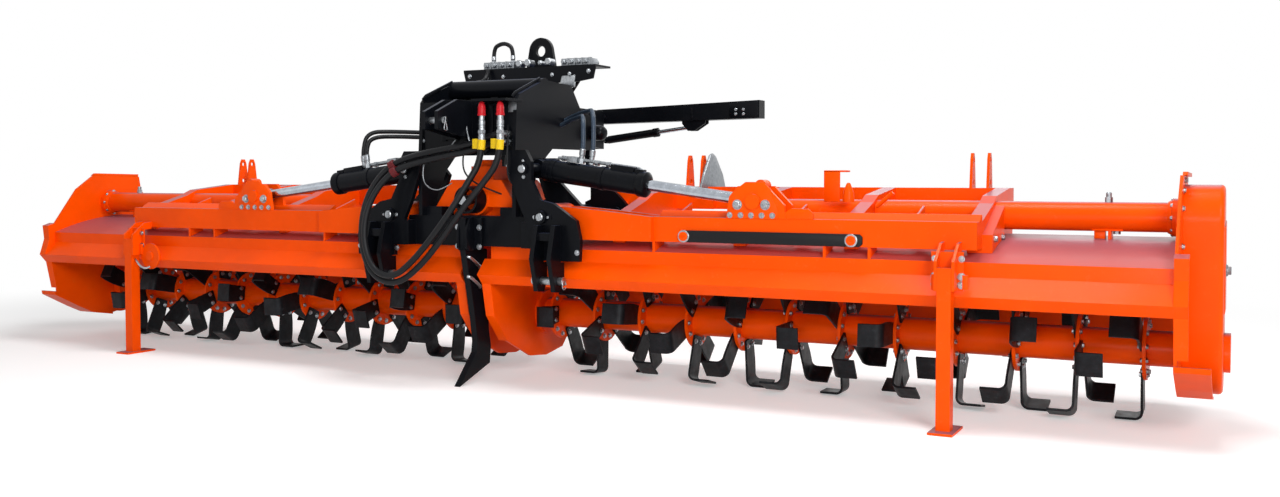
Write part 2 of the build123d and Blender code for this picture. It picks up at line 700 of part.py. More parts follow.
    # ------------------------------------------------------------ rotor
    with BuildPart() as rotor_tube:
        round_x(rotor_back, rotor_high, rotor_tube_r, (s * rotor_inner, s * rotor_outer))
        round_x(rotor_back, rotor_high, shaft_r, (s * 70, s * (case_inner + 40)))
        for i in range(flange_count):
            x = flange_first + i * flange_pitch
            round_x(rotor_back, rotor_high, flange_r,
                    (s * (x - flange_thick / 2), s * (x + flange_thick / 2)))
    finish(rotor_tube, f"rotor_tube_{side}")

    blade_places = []
    for i in range(flange_count):
        x = flange_first + i * flange_pitch
        faces = {0: (1,), flange_count - 1: (-1,)}.get(i, (-1, 1))
        for face in faces:
            for k in range(blades_per_side):
                turn = radians(i * helix_step + k * 360 / blades_per_side + (60 if face > 0 else 0))
                root = x + face * flange_thick / 2
                blade_places.append(Plane(
                    origin=(s * root, back(rotor_back), rotor_high),
                    x_dir=(0, cos(turn), sin(turn)),
                    z_dir=(s * face, 0, 0),
                ).location)
    with BuildPart() as blades:
        with Locations(*blade_places):
            add(blade.part)
    finish(blades, f"blades_{side}")

    # ------------------------------------------------------------ parking stand
    with BuildPart() as stand:
        half = stand_tube / 2
        bore = half - stand_wall
        block((s * stand_x - half, s * stand_x + half), (stand_back - half, stand_back + half),
              (stand_foot, stand_top))
        block((s * stand_x - bore, s * stand_x + bore), (stand_back - bore, stand_back + bore),
              (stand_foot, stand_top), Mode.SUBTRACT)
        block((s * stand_x - 48, s * stand_x + 48), (stand_back - 75, stand_back + 110), (0, stand_foot))
    finish(stand, f"stand_{side}")

    # ------------------------------------------------------------ fold cylinder
    cylinder(f"cylinder_{{}}_{side}", Vector(s * cyl_base_x, back(cyl_back), cyl_base_z),
             Vector(s * rod_eye_x, back(cyl_back), rod_eye_z), (barrel_r, barrel_length), rod_r,
             (eye_r, eye_wide, base_pin_r), rod_overlap)

# ================================================================ hoses to the tractor
# each route runs from a union on the tower's panel, down in a loop and up to a parked coupler
union_x = tower_half - 45
hose_routes = (
    ("hose_a", ((union_x, -80, 1150), (union_x, -135, 1150), (165, -130, 1141), (60, -126, 1108),
                (-70, -140, 1088),
                (-205, -160, 1061), (-345, -195, 1018), (-435, -232, 903), (-470, -255, 768),
                (-456, -262, 634),
                (-392, -266, 532), (-275, -270, 514), (-155, -272, 603), (-45, -272, 716), (50, -262, 835),
                (112, -220, 960), (160, -172, 1070), (160, -172, 1190))),
    ("hose_b", ((union_x, -80, 1188), (union_x, -135, 1188), (172, -131, 1177), (70, -128, 1142),
                (-62, -142, 1122),
                (-208, -160, 1097), (-368, -180, 1050), (-468, -215, 925), (-505, -235, 770),
                (-490, -240, 615),
                (-410, -245, 500), (-270, -248, 480), (-132, -250, 575), (-15, -250, 700), (85, -240, 830),
                (190, -205, 960), (262, -172, 1070), (262, -172, 1190))),
)
with BuildPart() as unions:
    for name, route in hose_routes:
        x, y, z = route[0]
        round_y(x, z, hose_r + 2, (y, tower_front))
finish(unions, "hose_unions")

coupler_top = 1270
cap_top = parking_bar[2][0]
with BuildPart() as couplers:
    for name, route in hose_routes:
        x, y, z = route[-1]
        with BuildSketch(Plane.XY.offset(z)) as outline:
            with Locations((x, back(y))):
                Circle(hose_r + 2)
        extrude(outline.sketch, amount=coupler_top - z)
finish(couplers, "hose_couplers")
with BuildPart() as caps:
    for name, route in hose_routes:
        x, y, z = route[-1]
        with BuildSketch(Plane.XY.offset(coupler_top)) as outline:
            with Locations((x, back(y))):
                Circle(hose_r + 5)
        extrude(outline.sketch, amount=cap_top - coupler_top)
finish(caps, "coupler_caps")

for name, route in hose_routes:
    points = [Vector(x, back(y), z) for x, y, z in route]
    runs = [b - a for a, b in zip(points, points[1:])]
    radii = []
    for before, after in zip(runs, runs[1:]):
        half_turn = radians(before.get_angle(after)) / 2
        radii.append(lay_share * min(before.length, after.length) / tan(half_turn))
    with BuildPart() as hose:
        with BuildLine() as lay:
            FilletPolyline(*points, radius=radii)
        with BuildSketch(Plane(origin=points[0], z_dir=runs[0].normalized())):
            Circle(hose_r)
        sweep()
    length = sum(edge.length for edge in lay.edges())
    print(name, "length", round(length), "radii", [round(r) for r in radii],
          "solid against section times length", round(hose.part.volume / (pi * hose_r ** 2 * length), 4))
    finish(hose, name)
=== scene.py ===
"""Folding rotavator: its looks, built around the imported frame.

Every piece is placed in the frame's own axes: +X to the right for a viewer in front, +Y rearwards and +Z up.
Places and sizes are written in millimetres, with y measured back from the wing beams' front face, unless a
comment says metres.
"""

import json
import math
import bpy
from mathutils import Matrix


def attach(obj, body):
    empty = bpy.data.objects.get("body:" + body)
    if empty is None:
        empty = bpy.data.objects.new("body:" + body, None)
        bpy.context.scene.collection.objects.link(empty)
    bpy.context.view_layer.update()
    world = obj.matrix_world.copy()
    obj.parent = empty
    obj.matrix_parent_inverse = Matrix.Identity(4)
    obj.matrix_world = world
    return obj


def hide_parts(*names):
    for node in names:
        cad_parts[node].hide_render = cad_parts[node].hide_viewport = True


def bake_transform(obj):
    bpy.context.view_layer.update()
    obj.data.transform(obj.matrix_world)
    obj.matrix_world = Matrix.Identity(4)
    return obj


bl_info = {
    "name": "Folding Rotavator Looks",
    "version": (1, 0, 0),
    "blender": (4, 5, 0),
    "location": "3D View > Sidebar > Rotavator",
    "description": "Finishes, fastenings, pipes and hoses of a folding rotavator",
    "category": "Object",
}

import bmesh
import bpy
from bpy.props import FloatProperty, FloatVectorProperty, IntProperty, PointerProperty
from mathutils import Vector

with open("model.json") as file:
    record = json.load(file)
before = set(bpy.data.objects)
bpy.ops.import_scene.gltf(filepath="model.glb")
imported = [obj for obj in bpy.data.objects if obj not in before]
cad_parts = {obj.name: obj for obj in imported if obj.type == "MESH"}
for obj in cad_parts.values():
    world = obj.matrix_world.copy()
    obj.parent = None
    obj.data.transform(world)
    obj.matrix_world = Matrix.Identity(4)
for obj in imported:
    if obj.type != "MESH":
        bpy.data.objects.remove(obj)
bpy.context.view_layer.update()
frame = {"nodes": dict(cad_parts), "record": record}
SIDES = (("left", -1), ("right", 1))
BEAM_FACE = -0.46              # Y of the wing beams' front face, in metres
AHEAD, BEHIND, UP, DOWN = (0, -1, 0), (0, 1, 0), (0, 0, 1), (0, 0, -1)

# places on the frame's own parts that pieces sit on: X runs across, FACE, FRONT, REAR, BACK and Y rearwards,
# HIGH, FOOT and TOP upwards, and HALF is half of a width
HINGE_X, HINGE_HIGH = 435, 805
FRONT_FACE, REAR_FACE, PIN_BACK = -100, 840, 854          # the hinge plates' faces and the pins' rear ends
LINK_X, LINK_Y, LINK_HIGH, LINK_HALF = 482.5, -115, 517, 71
TOP_LINK_Y, TOP_LINK_HIGH, TOP_LINK_HALF = -310, 1246, 44
TOWER_FACE = -60
TRAY_FACE, TRAY_BACK = 465, 612
VALVE_BANKS, VALVE_COUNT = ((-290, -100), (185, 352)), 4
VALVE_FRONT, VALVE_REAR, VALVE_FOOT, VALVE_TOP = 490, 575, 1550, 1588
STAND_FACE, CHEEK_FACE = -74, -8                          # the stand's bracket and the rod eye's bracket
ROTOR_BACK, ROTOR_HIGH = 480, 300
FLANGE_FIRST, FLANGE_LAST, FLANGE_COUNT = 205, 2945, 12
FLANGE_HALF, BLADE_THICK, HELIX_DEG, BLADE_BOLT_RING = 7, 10, 25, 108
CYLINDER_BACK = 50
CYLINDER_BASE, ROD_EYE = (340, 1026), (1434, 884)
BARREL_LENGTH, BARREL_R, ROD_R = 570, 51, 24.5
END_PLATE_X, CASE_X = 3082, 3222
CASE_TOP, CASE_LOW = (400, 830, 130), (480, 300, 165)     # y, z and radius of a drive case's two rounds
ARM_BASE, ARM_EYE = (40, 1230, 1197), (580, 1230, 1262)   # ends of the side arm's cylinder


def at(x, y, z):
    """A place in metres from millimetres, with y measured back from the beams' front face."""
    return Vector((x / 1000, BEAM_FACE + y / 1000, z / 1000))


# ---------------------------------------------------------------- materials
# widths of the patterns' patches: slow changes of the enamel's tone, its dust and its orange peel, and the
# scale left by forging
TONE_MM, SPECK_MM, ORANGE_PEEL_MM, SCALE_MM = 417, 26.3, 1.6, 45.5


def linear(code):
    """An sRGB hex colour as linear RGBA."""
    parts = [int(code[i:i + 2], 16) / 255 for i in (1, 3, 5)]
    return tuple(c / 12.92 if c <= 0.04045 else ((c + 0.055) / 1.055) ** 2.4 for c in parts) + (1.0,)


def add_node(tree, kind, values=None, links=None, stops=(), **settings):
    """Adds a node with its settings, socket values, incoming links and a ramp's (position, colour) stops."""
    made = tree.nodes.new(kind)
    for key, value in settings.items():
        setattr(made, key, value)
    for key, value in (values or {}).items():
        made.inputs[key].default_value = value
    for key, source in (links or {}).items():
        tree.links.new(source, made.inputs[key])
    for i, (position, colour) in enumerate(stops):
        steps = made.color_ramp.elements
        step = steps[i] if i < len(steps) else steps.new(position)
        step.position, step.color = position, colour
    return made


def new_material(name, **principled):
    """A material with a Principled shader whose plain values are set on its own sockets."""
    made = bpy.data.materials.new(name)
    made.use_nodes = True
    shader = made.node_tree.nodes["Principled BSDF"]
    for key, value in principled.items():
        shader.inputs[key.replace("_", " ")].default_value = value
    return made, made.node_tree, shader


def pattern(tree, size_mm, detail, roughness=0.6):
    """An even, cloudy pattern over the piece, whose patches are about this wide."""
    place = add_node(tree, "ShaderNodeTexCoord").outputs["Object"]
    return add_node(tree, "ShaderNodeTexNoise",
                    {"Scale": 1000 / size_mm, "Detail": detail, "Roughness": roughness},
                    {"Vector": place}).outputs["Fac"]


def relief(tree, shader, edge_mm, height=None, strength=0.0, depth_mm=1.0):
    """Rounds the shading of edges, with a fine relief on top, and puts it on the shader's normal."""
    rounded = add_node(tree, "ShaderNodeBevel", {"Radius": edge_mm / 1000}, samples=4)
    normal = rounded.outputs["Normal"]
    if height is not None:
        bump = add_node(tree, "ShaderNodeBump", {"Strength": strength, "Distance": depth_mm / 1000},
                        {"Height": height, "Normal": normal})
        normal = bump.outputs["Normal"]
    tree.links.new(normal, shader.inputs["Normal"])


def follow(tree, shader, cloud, stops, roughness=None):
    """Colours a surface by a pattern's value; with two roughnesses, it goes from one to the other as well."""
    tone = add_node(tree, "ShaderNodeValToRGB", links={"Fac": cloud}, stops=stops)
    tree.links.new(tone.outputs["Color"], shader.inputs["Base Color"])
    if roughness:
        rub = add_node(tree, "ShaderNodeMapRange", {"From Min": 0.3, "From Max": 0.7, "To Min": roughness[0],
                                                    "To Max": roughness[1]}, {"Value": cloud})
        tree.links.new(rub.outputs["Result"], shader.inputs["Roughness"])
    return tone.outputs["Color"]


def paint(name, body, shade, dust, sky_tint, gloss, roughness):
    """Sprayed enamel over steel: a faint orange peel, slow changes of tone and a little dust.

    The last colour is a painted reflection of a dull grey-blue sky, laid over faces that point up.
    """
    made, tree, shader = new_material(name, Specular_IOR_Level=gloss, Coat_Weight=gloss / 2,
                                      Coat_Roughness=0.1)
    tone = follow(tree, shader, pattern(tree, TONE_MM, 4.0), ((0.35, shade), (0.65, body)),
                  (roughness - 0.06, roughness + 0.08))
    specks = add_node(tree, "ShaderNodeMapRange", {"From Min": 0.58, "From Max": 0.8, "To Max": 0.25},
                      {"Value": pattern(tree, SPECK_MM, 6.0, 0.7)})
    dusty = add_node(tree, "ShaderNodeMix", {"B": dust}, {"Factor": specks.outputs["Result"], "A": tone},
                     data_type="RGBA")
    # faces that point up get the painted sky reflection over their enamel colour
    place = add_node(tree, "ShaderNodeTexCoord")
    facing = add_node(tree, "ShaderNodeSeparateXYZ", links={"Vector": place.outputs["Normal"]})
    sky_reflection_share = add_node(tree, "ShaderNodeMapRange", {"From Min": 0.86, "From Max": 0.99, "To Max": 0.82},
                    {"Value": facing.outputs["Z"]})
    painted_sky_reflection = add_node(tree, "ShaderNodeMix", {"B": sky_tint},
                     {"Factor": sky_reflection_share.outputs["Result"], "A": dusty.outputs["Result"]}, data_type="RGBA")
    tree.links.new(painted_sky_reflection.outputs["Result"], shader.inputs["Base Color"])
    relief(tree, shader, 2.5, pattern(tree, ORANGE_PEEL_MM, 2.0), 0.06)
    return made


def bare_metal(name, light, dark, roughness, streak_mm):
    """Plated or ground steel: grey metal, clouded and rubbed in fine patches."""
    made, tree, shader = new_material(name, Metallic=1.0)
    follow(tree, shader, pattern(tree, streak_mm, 5.0, 0.65), ((0.3, linear(dark)), (0.7, linear(light))),
           (roughness - 0.08, roughness + 0.1))
    relief(tree, shader, 1.5)
    return made


def forged_steel(name):
    """Forged spring steel with black scale, rubbed grey and smoother where soil and handling wear it."""
    made, tree, shader = new_material(name, Metallic=0.25, Specular_IOR_Level=0.2)
    scale = pattern(tree, SCALE_MM, 8.0, 0.7)
    tones = ((0.42, linear("#101114")), (0.62, linear("#1B1D21")), (0.78, linear("#3E4044")))
    follow(tree, shader, scale, tones, (0.55, 0.38))
    relief(tree, shader, 3.0, scale, 0.25, 1.5)
    return made


def toned(colour, share):
    """A colour with only this share of its brightness."""
    return tuple(c * share for c in colour[:3]) + (1.0,)


def moulded(name, colour, shade, roughness, grain_mm):
    """Moulded rubber or plastic: even, with a fine matt grain."""
    made, tree, shader = new_material(name, Specular_IOR_Level=0.2, Roughness=roughness)
    grain = pattern(tree, grain_mm, 3.0)
    follow(tree, shader, grain, ((0.35, shade), (0.65, colour)))
    relief(tree, shader, 1.0, grain, 0.15, 0.8)
    return made


# ---------------------------------------------------------------- shapes
def add_plate(shape, axis, outline, span, bevel=1.2):
    """Adds a plate: an outline in the two other axes, pushed between two places along its own axis."""
    rings = []
    for place in span:
        corners = [{"x": (place, a, b), "y": (a, place, b), "z": (a, b, place)}[axis] for a, b in outline]
        rings.append([shape.verts.new(at(*corner)) for corner in corners])
    faces = [shape.faces.new(rings[0]), shape.faces.new(rings[1])]
    for i in range(len(outline)):
        j = (i + 1) % len(outline)
        faces.append(shape.faces.new((rings[0][i], rings[0][j], rings[1][j], rings[1][i])))
    bmesh.ops.recalc_face_normals(shape, faces=faces)
    edges = list({edge for face in faces for edge in face.edges})
    bmesh.ops.bevel(shape, geom=edges, offset=bevel / 1000, segments=2, profile=0.5, affect="EDGES")


def add_block(shape, x, y, z, bevel=1.2):
    """Adds a block between two places along each axis."""
    add_plate(shape, "z", [(x[0], y[0]), (x[1], y[0]), (x[1], y[1]), (x[0], y[1])], z, bevel)


def add_turned(shape, start, way, profile, steps=24, ring=False):
    """Adds a turned shape from (distance along, radius) pairs; a ring's last pair joins its first."""
    turn = Vector(way).normalized().to_track_quat("Z", "Y").to_matrix()
    rings = []
    for along, radius in profile:
        angles = [2 * math.pi * i / steps for i in range(steps)]
        spots = [Vector((radius * math.cos(a), radius * math.sin(a), along)) / 1000 for a in angles]
        rings.append([shape.verts.new(start + turn @ spot) for spot in spots])
    pairs = list(zip(rings, rings[1:])) + ([(rings[-1], rings[0])] if ring else [])
    faces = []
    for a, b in pairs:
        for i in range(steps):
            j = (i + 1) % steps
            faces.append(shape.faces.new((a[i], a[j], b[j], b[i])))
    if not ring:
        faces += [shape.faces.new(rings[0][::-1]), shape.faces.new(rings[-1])]
    bmesh.ops.recalc_face_normals(shape, faces=faces)


def nurbs_line(name, places, radius=0.0, sides=4):
    """A smooth open curve with these places, in metres, as control points; a radius makes it a round bar."""
    line = bpy.data.curves.new(name, "CURVE")
    line.dimensions = "3D"
    spline = line.splines.new("NURBS")
    spline.points.add(len(places) - 1)
    for point, place in zip(spline.points, places):
        point.co = (*place, 1)
    spline.order_u = 3
    spline.use_endpoint_u = True
    line.resolution_u = 8
    line.bevel_depth = radius / 1000
    line.bevel_resolution = sides
    line.use_fill_caps = radius > 0
    return bpy.data.objects.new(name, line)


def add_pipe(shape, places, radius, sides=3):
    """Adds a bent pipe or wire along a smooth line; a place is a vector in metres or three millimetres."""
    ends = [place if isinstance(place, Vector) else at(*place) for place in places]
    holder = nurbs_line("pipe", ends, radius, sides)
    mesh = bpy.data.meshes.new_from_object(holder)
    shape.from_mesh(mesh)
    bmesh.ops.remove_doubles(shape, verts=shape.verts, dist=0.000001)
    bpy.data.objects.remove(holder)
    bpy.data.meshes.remove(mesh)


def add_fitting(shape, start, way, radius, length):
    """Adds a hose end: a hexagon nut and a swaged sleeve."""
    add_turned(shape, start, way, [(0, radius * 1.15), (length * 0.3, radius * 1.15)], 6)
    add_turned(shape, start, way, [(length * 0.3, radius * 0.8), (length * 0.4, radius * 0.8),
                                   (length * 0.45, radius * 1.05), (length, radius * 1.05)], 20)


def make_piece(context, name, shape, finish, body):
    """One plain mesh from a shape, with its finish and body; the slot is its finish's own by default."""
    mesh = bpy.data.meshes.new(name)
    shape.to_mesh(mesh)
    shape.free()
    mesh.shade_smooth()
    mesh.set_sharp_from_angle(angle=math.radians(35))
    mesh.materials.append(MATERIALS[finish])
    made = bpy.data.objects.new(name, mesh)
    context.collection.objects.link(made)
    if body:
        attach(made, body)
    return made


def ring_of(x, y, z, radius, count):
    """Places round a circle square to X."""
    turns = [2 * math.pi * i / count for i in range(count)]
    return [(x, y + radius * math.cos(t), z + radius * math.sin(t)) for t in turns]


# ---------------------------------------------------------------- bolts
def bolt_tree():
    """Geometry nodes that put a hexagon head and its washer on every point, along the point's facing."""
    tree = bpy.data.node_groups.new("bolt_heads", "GeometryNodeTree")
    face = tree.interface
    face.new_socket("Points", in_out="INPUT", socket_type="NodeSocketGeometry")
    for name, kind, value in (("Head Height", "NodeSocketFloat", 0.7),
                              ("Washer Radius", "NodeSocketFloat", 1.3),
                              ("Seed", "NodeSocketInt", 7), ("Finish", "NodeSocketMaterial", None)):
        socket = face.new_socket(name, in_out="INPUT", socket_type=kind)
        if value is not None:
            socket.default_value = value
    face.new_socket("Bolts", in_out="OUTPUT", socket_type="NodeSocketGeometry")
    entry = tree.nodes.new("NodeGroupInput").outputs
    head = add_node(tree, "GeometryNodeMeshCylinder", {"Vertices": 6, "Radius": 1.0},
                    {"Depth": entry["Head Height"]})
    crown = add_node(tree, "GeometryNodeExtrudeMesh", {"Offset Scale": 0.12, "Individual": False},
                     {"Mesh": head.outputs["Mesh"], "Selection": head.outputs["Top"]})
    tapered = add_node(tree, "GeometryNodeScaleElements", {"Scale": 0.84},
                       {"Geometry": crown.outputs["Mesh"], "Selection": crown.outputs["Top"]})
    lift = add_node(tree, "ShaderNodeMath", {1: 0.5, 2: 0.1}, {0: entry["Head Height"]},
                    operation="MULTIPLY_ADD")
    up = add_node(tree, "ShaderNodeCombineXYZ", links={"Z": lift.outputs[0]})
    raised = add_node(tree, "GeometryNodeSetPosition", links={"Geometry": tapered.outputs["Geometry"],
                                                              "Offset": up.outputs[0]})
    washer = add_node(tree, "GeometryNodeMeshCylinder", {"Vertices": 16, "Depth": 0.3},
                      {"Radius": entry["Washer Radius"]})
    both = add_node(tree, "GeometryNodeJoinGeometry", links={"Geometry": raised.outputs["Geometry"]})
    tree.links.new(washer.outputs["Mesh"], both.inputs["Geometry"])
    facing = add_node(tree, "GeometryNodeInputNamedAttribute", {"Name": "facing"}, data_type="FLOAT_VECTOR")
    size = add_node(tree, "GeometryNodeInputNamedAttribute", {"Name": "size"}, data_type="FLOAT")
    turned = add_node(tree, "FunctionNodeAlignRotationToVector",
                      links={"Vector": facing.outputs["Attribute"]}, axis="Z")
    placed = add_node(tree, "GeometryNodeInstanceOnPoints",
                      links={"Points": entry["Points"], "Instance": both.outputs[0],
                             "Rotation": turned.outputs[0], "Scale": size.outputs["Attribute"]})
    spin = add_node(tree, "FunctionNodeRandomValue", {"Max": math.pi / 3}, {"Seed": entry["Seed"]},
                    data_type="FLOAT")
    about = add_node(tree, "ShaderNodeCombineXYZ", links={"Z": spin.outputs[1]})
    spun = add_node(tree, "GeometryNodeRotateInstances", {"Local Space": True},
                    {"Instances": placed.outputs[0], "Rotation": about.outputs[0]})
    solid = add_node(tree, "GeometryNodeRealizeInstances", links={"Geometry": spun.outputs[0]})
    finished = add_node(tree, "GeometryNodeSetMaterial", links={"Geometry": solid.outputs[0],
                                                                "Material": entry["Finish"]})
    leave = tree.nodes.new("NodeGroupOutput")
    tree.links.new(finished.outputs[0], leave.inputs["Bolts"])
    return tree


def make_bolts(context, tree, body, bolts):
    """One plain mesh of bolt heads for a body; bolts are (place, facing, radius)."""
    mesh = bpy.data.meshes.new(f"bolts_{body}")
    mesh.from_pydata([at(*place) for place, facing, radius in bolts], [], [])
    mesh.attributes.new("facing", "FLOAT_VECTOR", "POINT").data.foreach_set(
        "vector", [value for place, facing, radius in bolts for value in facing])
    mesh.attributes.new("size", "FLOAT", "POINT").data.foreach_set(
        "value", [radius / 1000 for place, facing, radius in bolts])
    made = bpy.data.objects.new(f"bolts_{body}", mesh)
    context.collection.objects.link(made)
    modifier = made.modifiers.new("bolts", "NODES")
    modifier.node_group = tree
    sizes = context.scene.rota_bolts
    wanted = {"Head Height": sizes.head_height, "Washer Radius": sizes.washer_radius, "Seed": sizes.seed,
              "Finish": MATERIALS["zinc"]}
    for item in tree.interface.items_tree:
        if item.name in wanted:
            modifier[item.identifier] = wanted[item.name]
    context.view_layer.update()
    solid = bpy.data.meshes.new_from_object(made.evaluated_get(context.evaluated_depsgraph_get()))
    made.modifiers.clear()
    made.data = solid
    bpy.data.meshes.remove(mesh)
    solid.name = made.name
    for name in ("facing", "size"):
        if name in solid.attributes:
            solid.attributes.remove(solid.attributes[name])
    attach(made, body)


# ---------------------------------------------------------------- settings
class StageSizes(bpy.types.PropertyGroup):
    lens: FloatProperty(name="Lens", description="Focal length on a 36 mm sensor", default=33.38,
                        unit="CAMERA")
    yaw: FloatProperty(name="Yaw", description="Turn of the view towards the left wing",
                       default=math.radians(27.42), subtype="ANGLE")
    tilt: FloatProperty(name="Tilt", description="Downward tilt of the view", default=math.radians(2.0),
                        subtype="ANGLE")
    height: FloatProperty(name="Height", description="Height of the lens", default=0.9933, unit="LENGTH")
    room: FloatProperty(name="Room light", description="Strength of the room's even light", default=0.26,
                        min=0)
    lamps: FloatProperty(name="Lamps", description="Share of the lamps' full power", default=1.0, min=0)


def colour_setting(name, description, code):
    """A colour of the settings that starts as this hex colour."""
    return FloatVectorProperty(name=name, description=description, subtype="COLOR", size=4, min=0, max=1,
                               default=linear(code))


class Colours(bpy.types.PropertyGroup):
    orange: colour_setting("Orange", "Enamel of the wings, rotors and stands", "#FF5300")
    black: colour_setting("Black", "Enamel of the centre frame, tower and cylinders", "#0B0D12")
    rubber: colour_setting("Rubber", "Cover of the hoses", "#141518")
    red: colour_setting("Red", "Coupler caps and the hose clamp", "#D2202A")
    yellow: colour_setting("Yellow", "Blank tags on the hoses", "#F0C81E")


class BoltSizes(bpy.types.PropertyGroup):
    head_height: FloatProperty(name="Head height", description="Share of the head's corner radius",
                               default=0.7)
    washer_radius: FloatProperty(name="Washer radius", description="Share of the head's corner radius",
                                 default=1.3)
    seed: IntProperty(name="Seed", description="Seed of the heads' random turns", default=7)


class PipeSizes(bpy.types.PropertyGroup):
    hose: FloatProperty(name="Hose radius", description="Radius of the tractor hoses", default=0.015,
                        unit="LENGTH")
    supply: FloatProperty(name="Supply radius", description="Radius of the cylinders' hoses", default=0.011,
                          unit="LENGTH")
    pipe: FloatProperty(name="Pipe radius", description="Radius of the steel pipes", default=0.008,
                        unit="LENGTH")
    wire: FloatProperty(name="Wire radius", description="Radius of the thin wires", default=0.003,
                        unit="LENGTH")


MATERIALS = {}
SLOT_MATERIALS = {"orange_paint": "orange", "black_paint": "black", "blade_black": "blade", "zinc": "zinc",
                  "chrome_rod": "chrome", "hose_rubber": "rubber", "cap_red": "red"}
BLACK_PINS = ("hinge_pins_left", "hinge_pins_right", "arm_pin")   # pins whose heads are painted over
HOSE_ROUTES = {
    "hose_a": (2.140, ((235, -80, 1150), (235, -135, 1150), (165, -130, 1141), (60, -126, 1108),
                       (-70, -140, 1088), (-205, -160, 1061), (-345, -195, 1018), (-435, -232, 903),
                       (-470, -255, 768), (-456, -262, 634), (-392, -266, 532), (-275, -270, 514),
                       (-155, -272, 603), (-45, -272, 716), (50, -262, 835), (112, -220, 960),
                       (160, -172, 1070), (160, -172, 1190))),
    "hose_b": (2.329, ((235, -80, 1188), (235, -135, 1188), (172, -131, 1177), (70, -128, 1142),
                       (-62, -142, 1122), (-208, -160, 1097), (-368, -180, 1050), (-468, -215, 925),
                       (-505, -235, 770), (-490, -240, 615), (-410, -245, 500), (-270, -248, 480),
                       (-132, -250, 575), (-15, -250, 700), (85, -240, 830), (190, -205, 960),
                       (262, -172, 1070), (262, -172, 1190))),
}
COUPLER_TOP, CAP_TOP = 1270, 1335
CLIP_WIRE = 2.5
# hose ports on the barrels, as distances along the barrel and rearwards, and how high their hoses rise
SUPPLY_PORTS = {"left": ((352, -2), (392, 18)), "right": ((215, -2), (258, 18))}
SUPPLY_TOPS = {"left": 1184, "right": 1262}
# the camera's place and upward shift, and each lamp's name, place, size and power: metres and watts
CAMERA_X, CAMERA_Y, LENS_SHIFT = 3.3268, BEAM_FACE - 4.6949, -0.0243
LAMPS = (("key", (6.0, -6.0, 3.6), 3.0, 380), ("fill", (-6.5, -6.0, 3.0), 5.0, 20),
         ("low", (3.0, -7.5, 0.7), 1.6, 90), ("top", (1.5, -0.5, 6.0), 2.5, 260),
         ("rear", (1.0, 7.0, 4.5), 5.0, 130))
LAMP_AIM = (0, 0, 0.6)
FLOOR_NEAR, FLOOR_FAR = 3.6, 6.5        # how far out the floor starts and ends turning white, in metres


class RotaOperator:
    """What every step of the scene shares: it can be undone and is listed in the panel."""
    bl_options = {"REGISTER", "UNDO"}


# ---------------------------------------------------------------- the stage
class ROTA_OT_stage(RotaOperator, bpy.types.Operator):
    """Makes the camera, the lamps, the floor and the pale world"""
    bl_idname = "rota.stage"
    bl_label = "Stage"

    def execute(self, context):
        sizes = context.scene.rota_stage
        context.scene.view_settings.view_transform = "Standard"
        lens = bpy.data.cameras.new("camera")
        lens.lens = sizes.lens
        lens.sensor_width = 36
        lens.shift_y = LENS_SHIFT
        lens.clip_end = 200
        camera = bpy.data.objects.new("camera", lens)
        camera.location = (CAMERA_X, CAMERA_Y, sizes.height)
        camera.rotation_euler = (math.pi / 2 - sizes.tilt, 0, sizes.yaw)
        context.collection.objects.link(camera)
        context.scene.camera = camera
        for name, place, size, power in LAMPS:
            data = bpy.data.lights.new(name, "AREA")
            data.size = size
            data.energy = power * sizes.lamps
            lamp = bpy.data.objects.new(name, data)
            lamp.location = place
            lamp.rotation_euler = (Vector(LAMP_AIM) - Vector(place)).to_track_quat("-Z", "Y").to_euler()
            context.collection.objects.link(lamp)
        world = bpy.data.worlds.new("pale_room")
        context.scene.world = world
        world.use_nodes = True
        tree = world.node_tree
        room = tree.nodes["Background"]
        room.inputs["Color"].default_value = (1, 1, 1, 1)
        room.inputs["Strength"].default_value = sizes.room
        white = add_node(tree, "ShaderNodeBackground", {"Color": (1, 1, 1, 1), "Strength": 1.0})
        both = add_node(tree, "ShaderNodeMixShader", links={0: seen_directly(tree), 1: room.outputs[0],
                                                            2: white.outputs[0]})
        tree.links.new(both.outputs[0], tree.nodes["World Output"].inputs["Surface"])
        shape = bmesh.new()
        bmesh.ops.create_grid(shape, x_segments=1, y_segments=1, size=60)
        mesh = bpy.data.meshes.new("floor")
        shape.to_mesh(mesh)
        shape.free()
        floor = bpy.data.objects.new("floor", mesh)
        context.collection.objects.link(floor)
        mesh.materials.append(white_floor())
        return {"FINISHED"}


def seen_directly(tree):
    """1 for what the camera sees straight, mirrored or through glass, and 0 for the light on the object."""
    rays = add_node(tree, "ShaderNodeLightPath").outputs
    straight = add_node(tree, "ShaderNodeMath", links={0: rays["Is Camera Ray"], 1: rays["Is Glossy Ray"]},
                        operation="MAXIMUM")
    every = add_node(tree, "ShaderNodeMath", links={0: straight.outputs[0], 1: rays["Is Transmission Ray"]},
                     operation="MAXIMUM")
    return every.outputs[0]


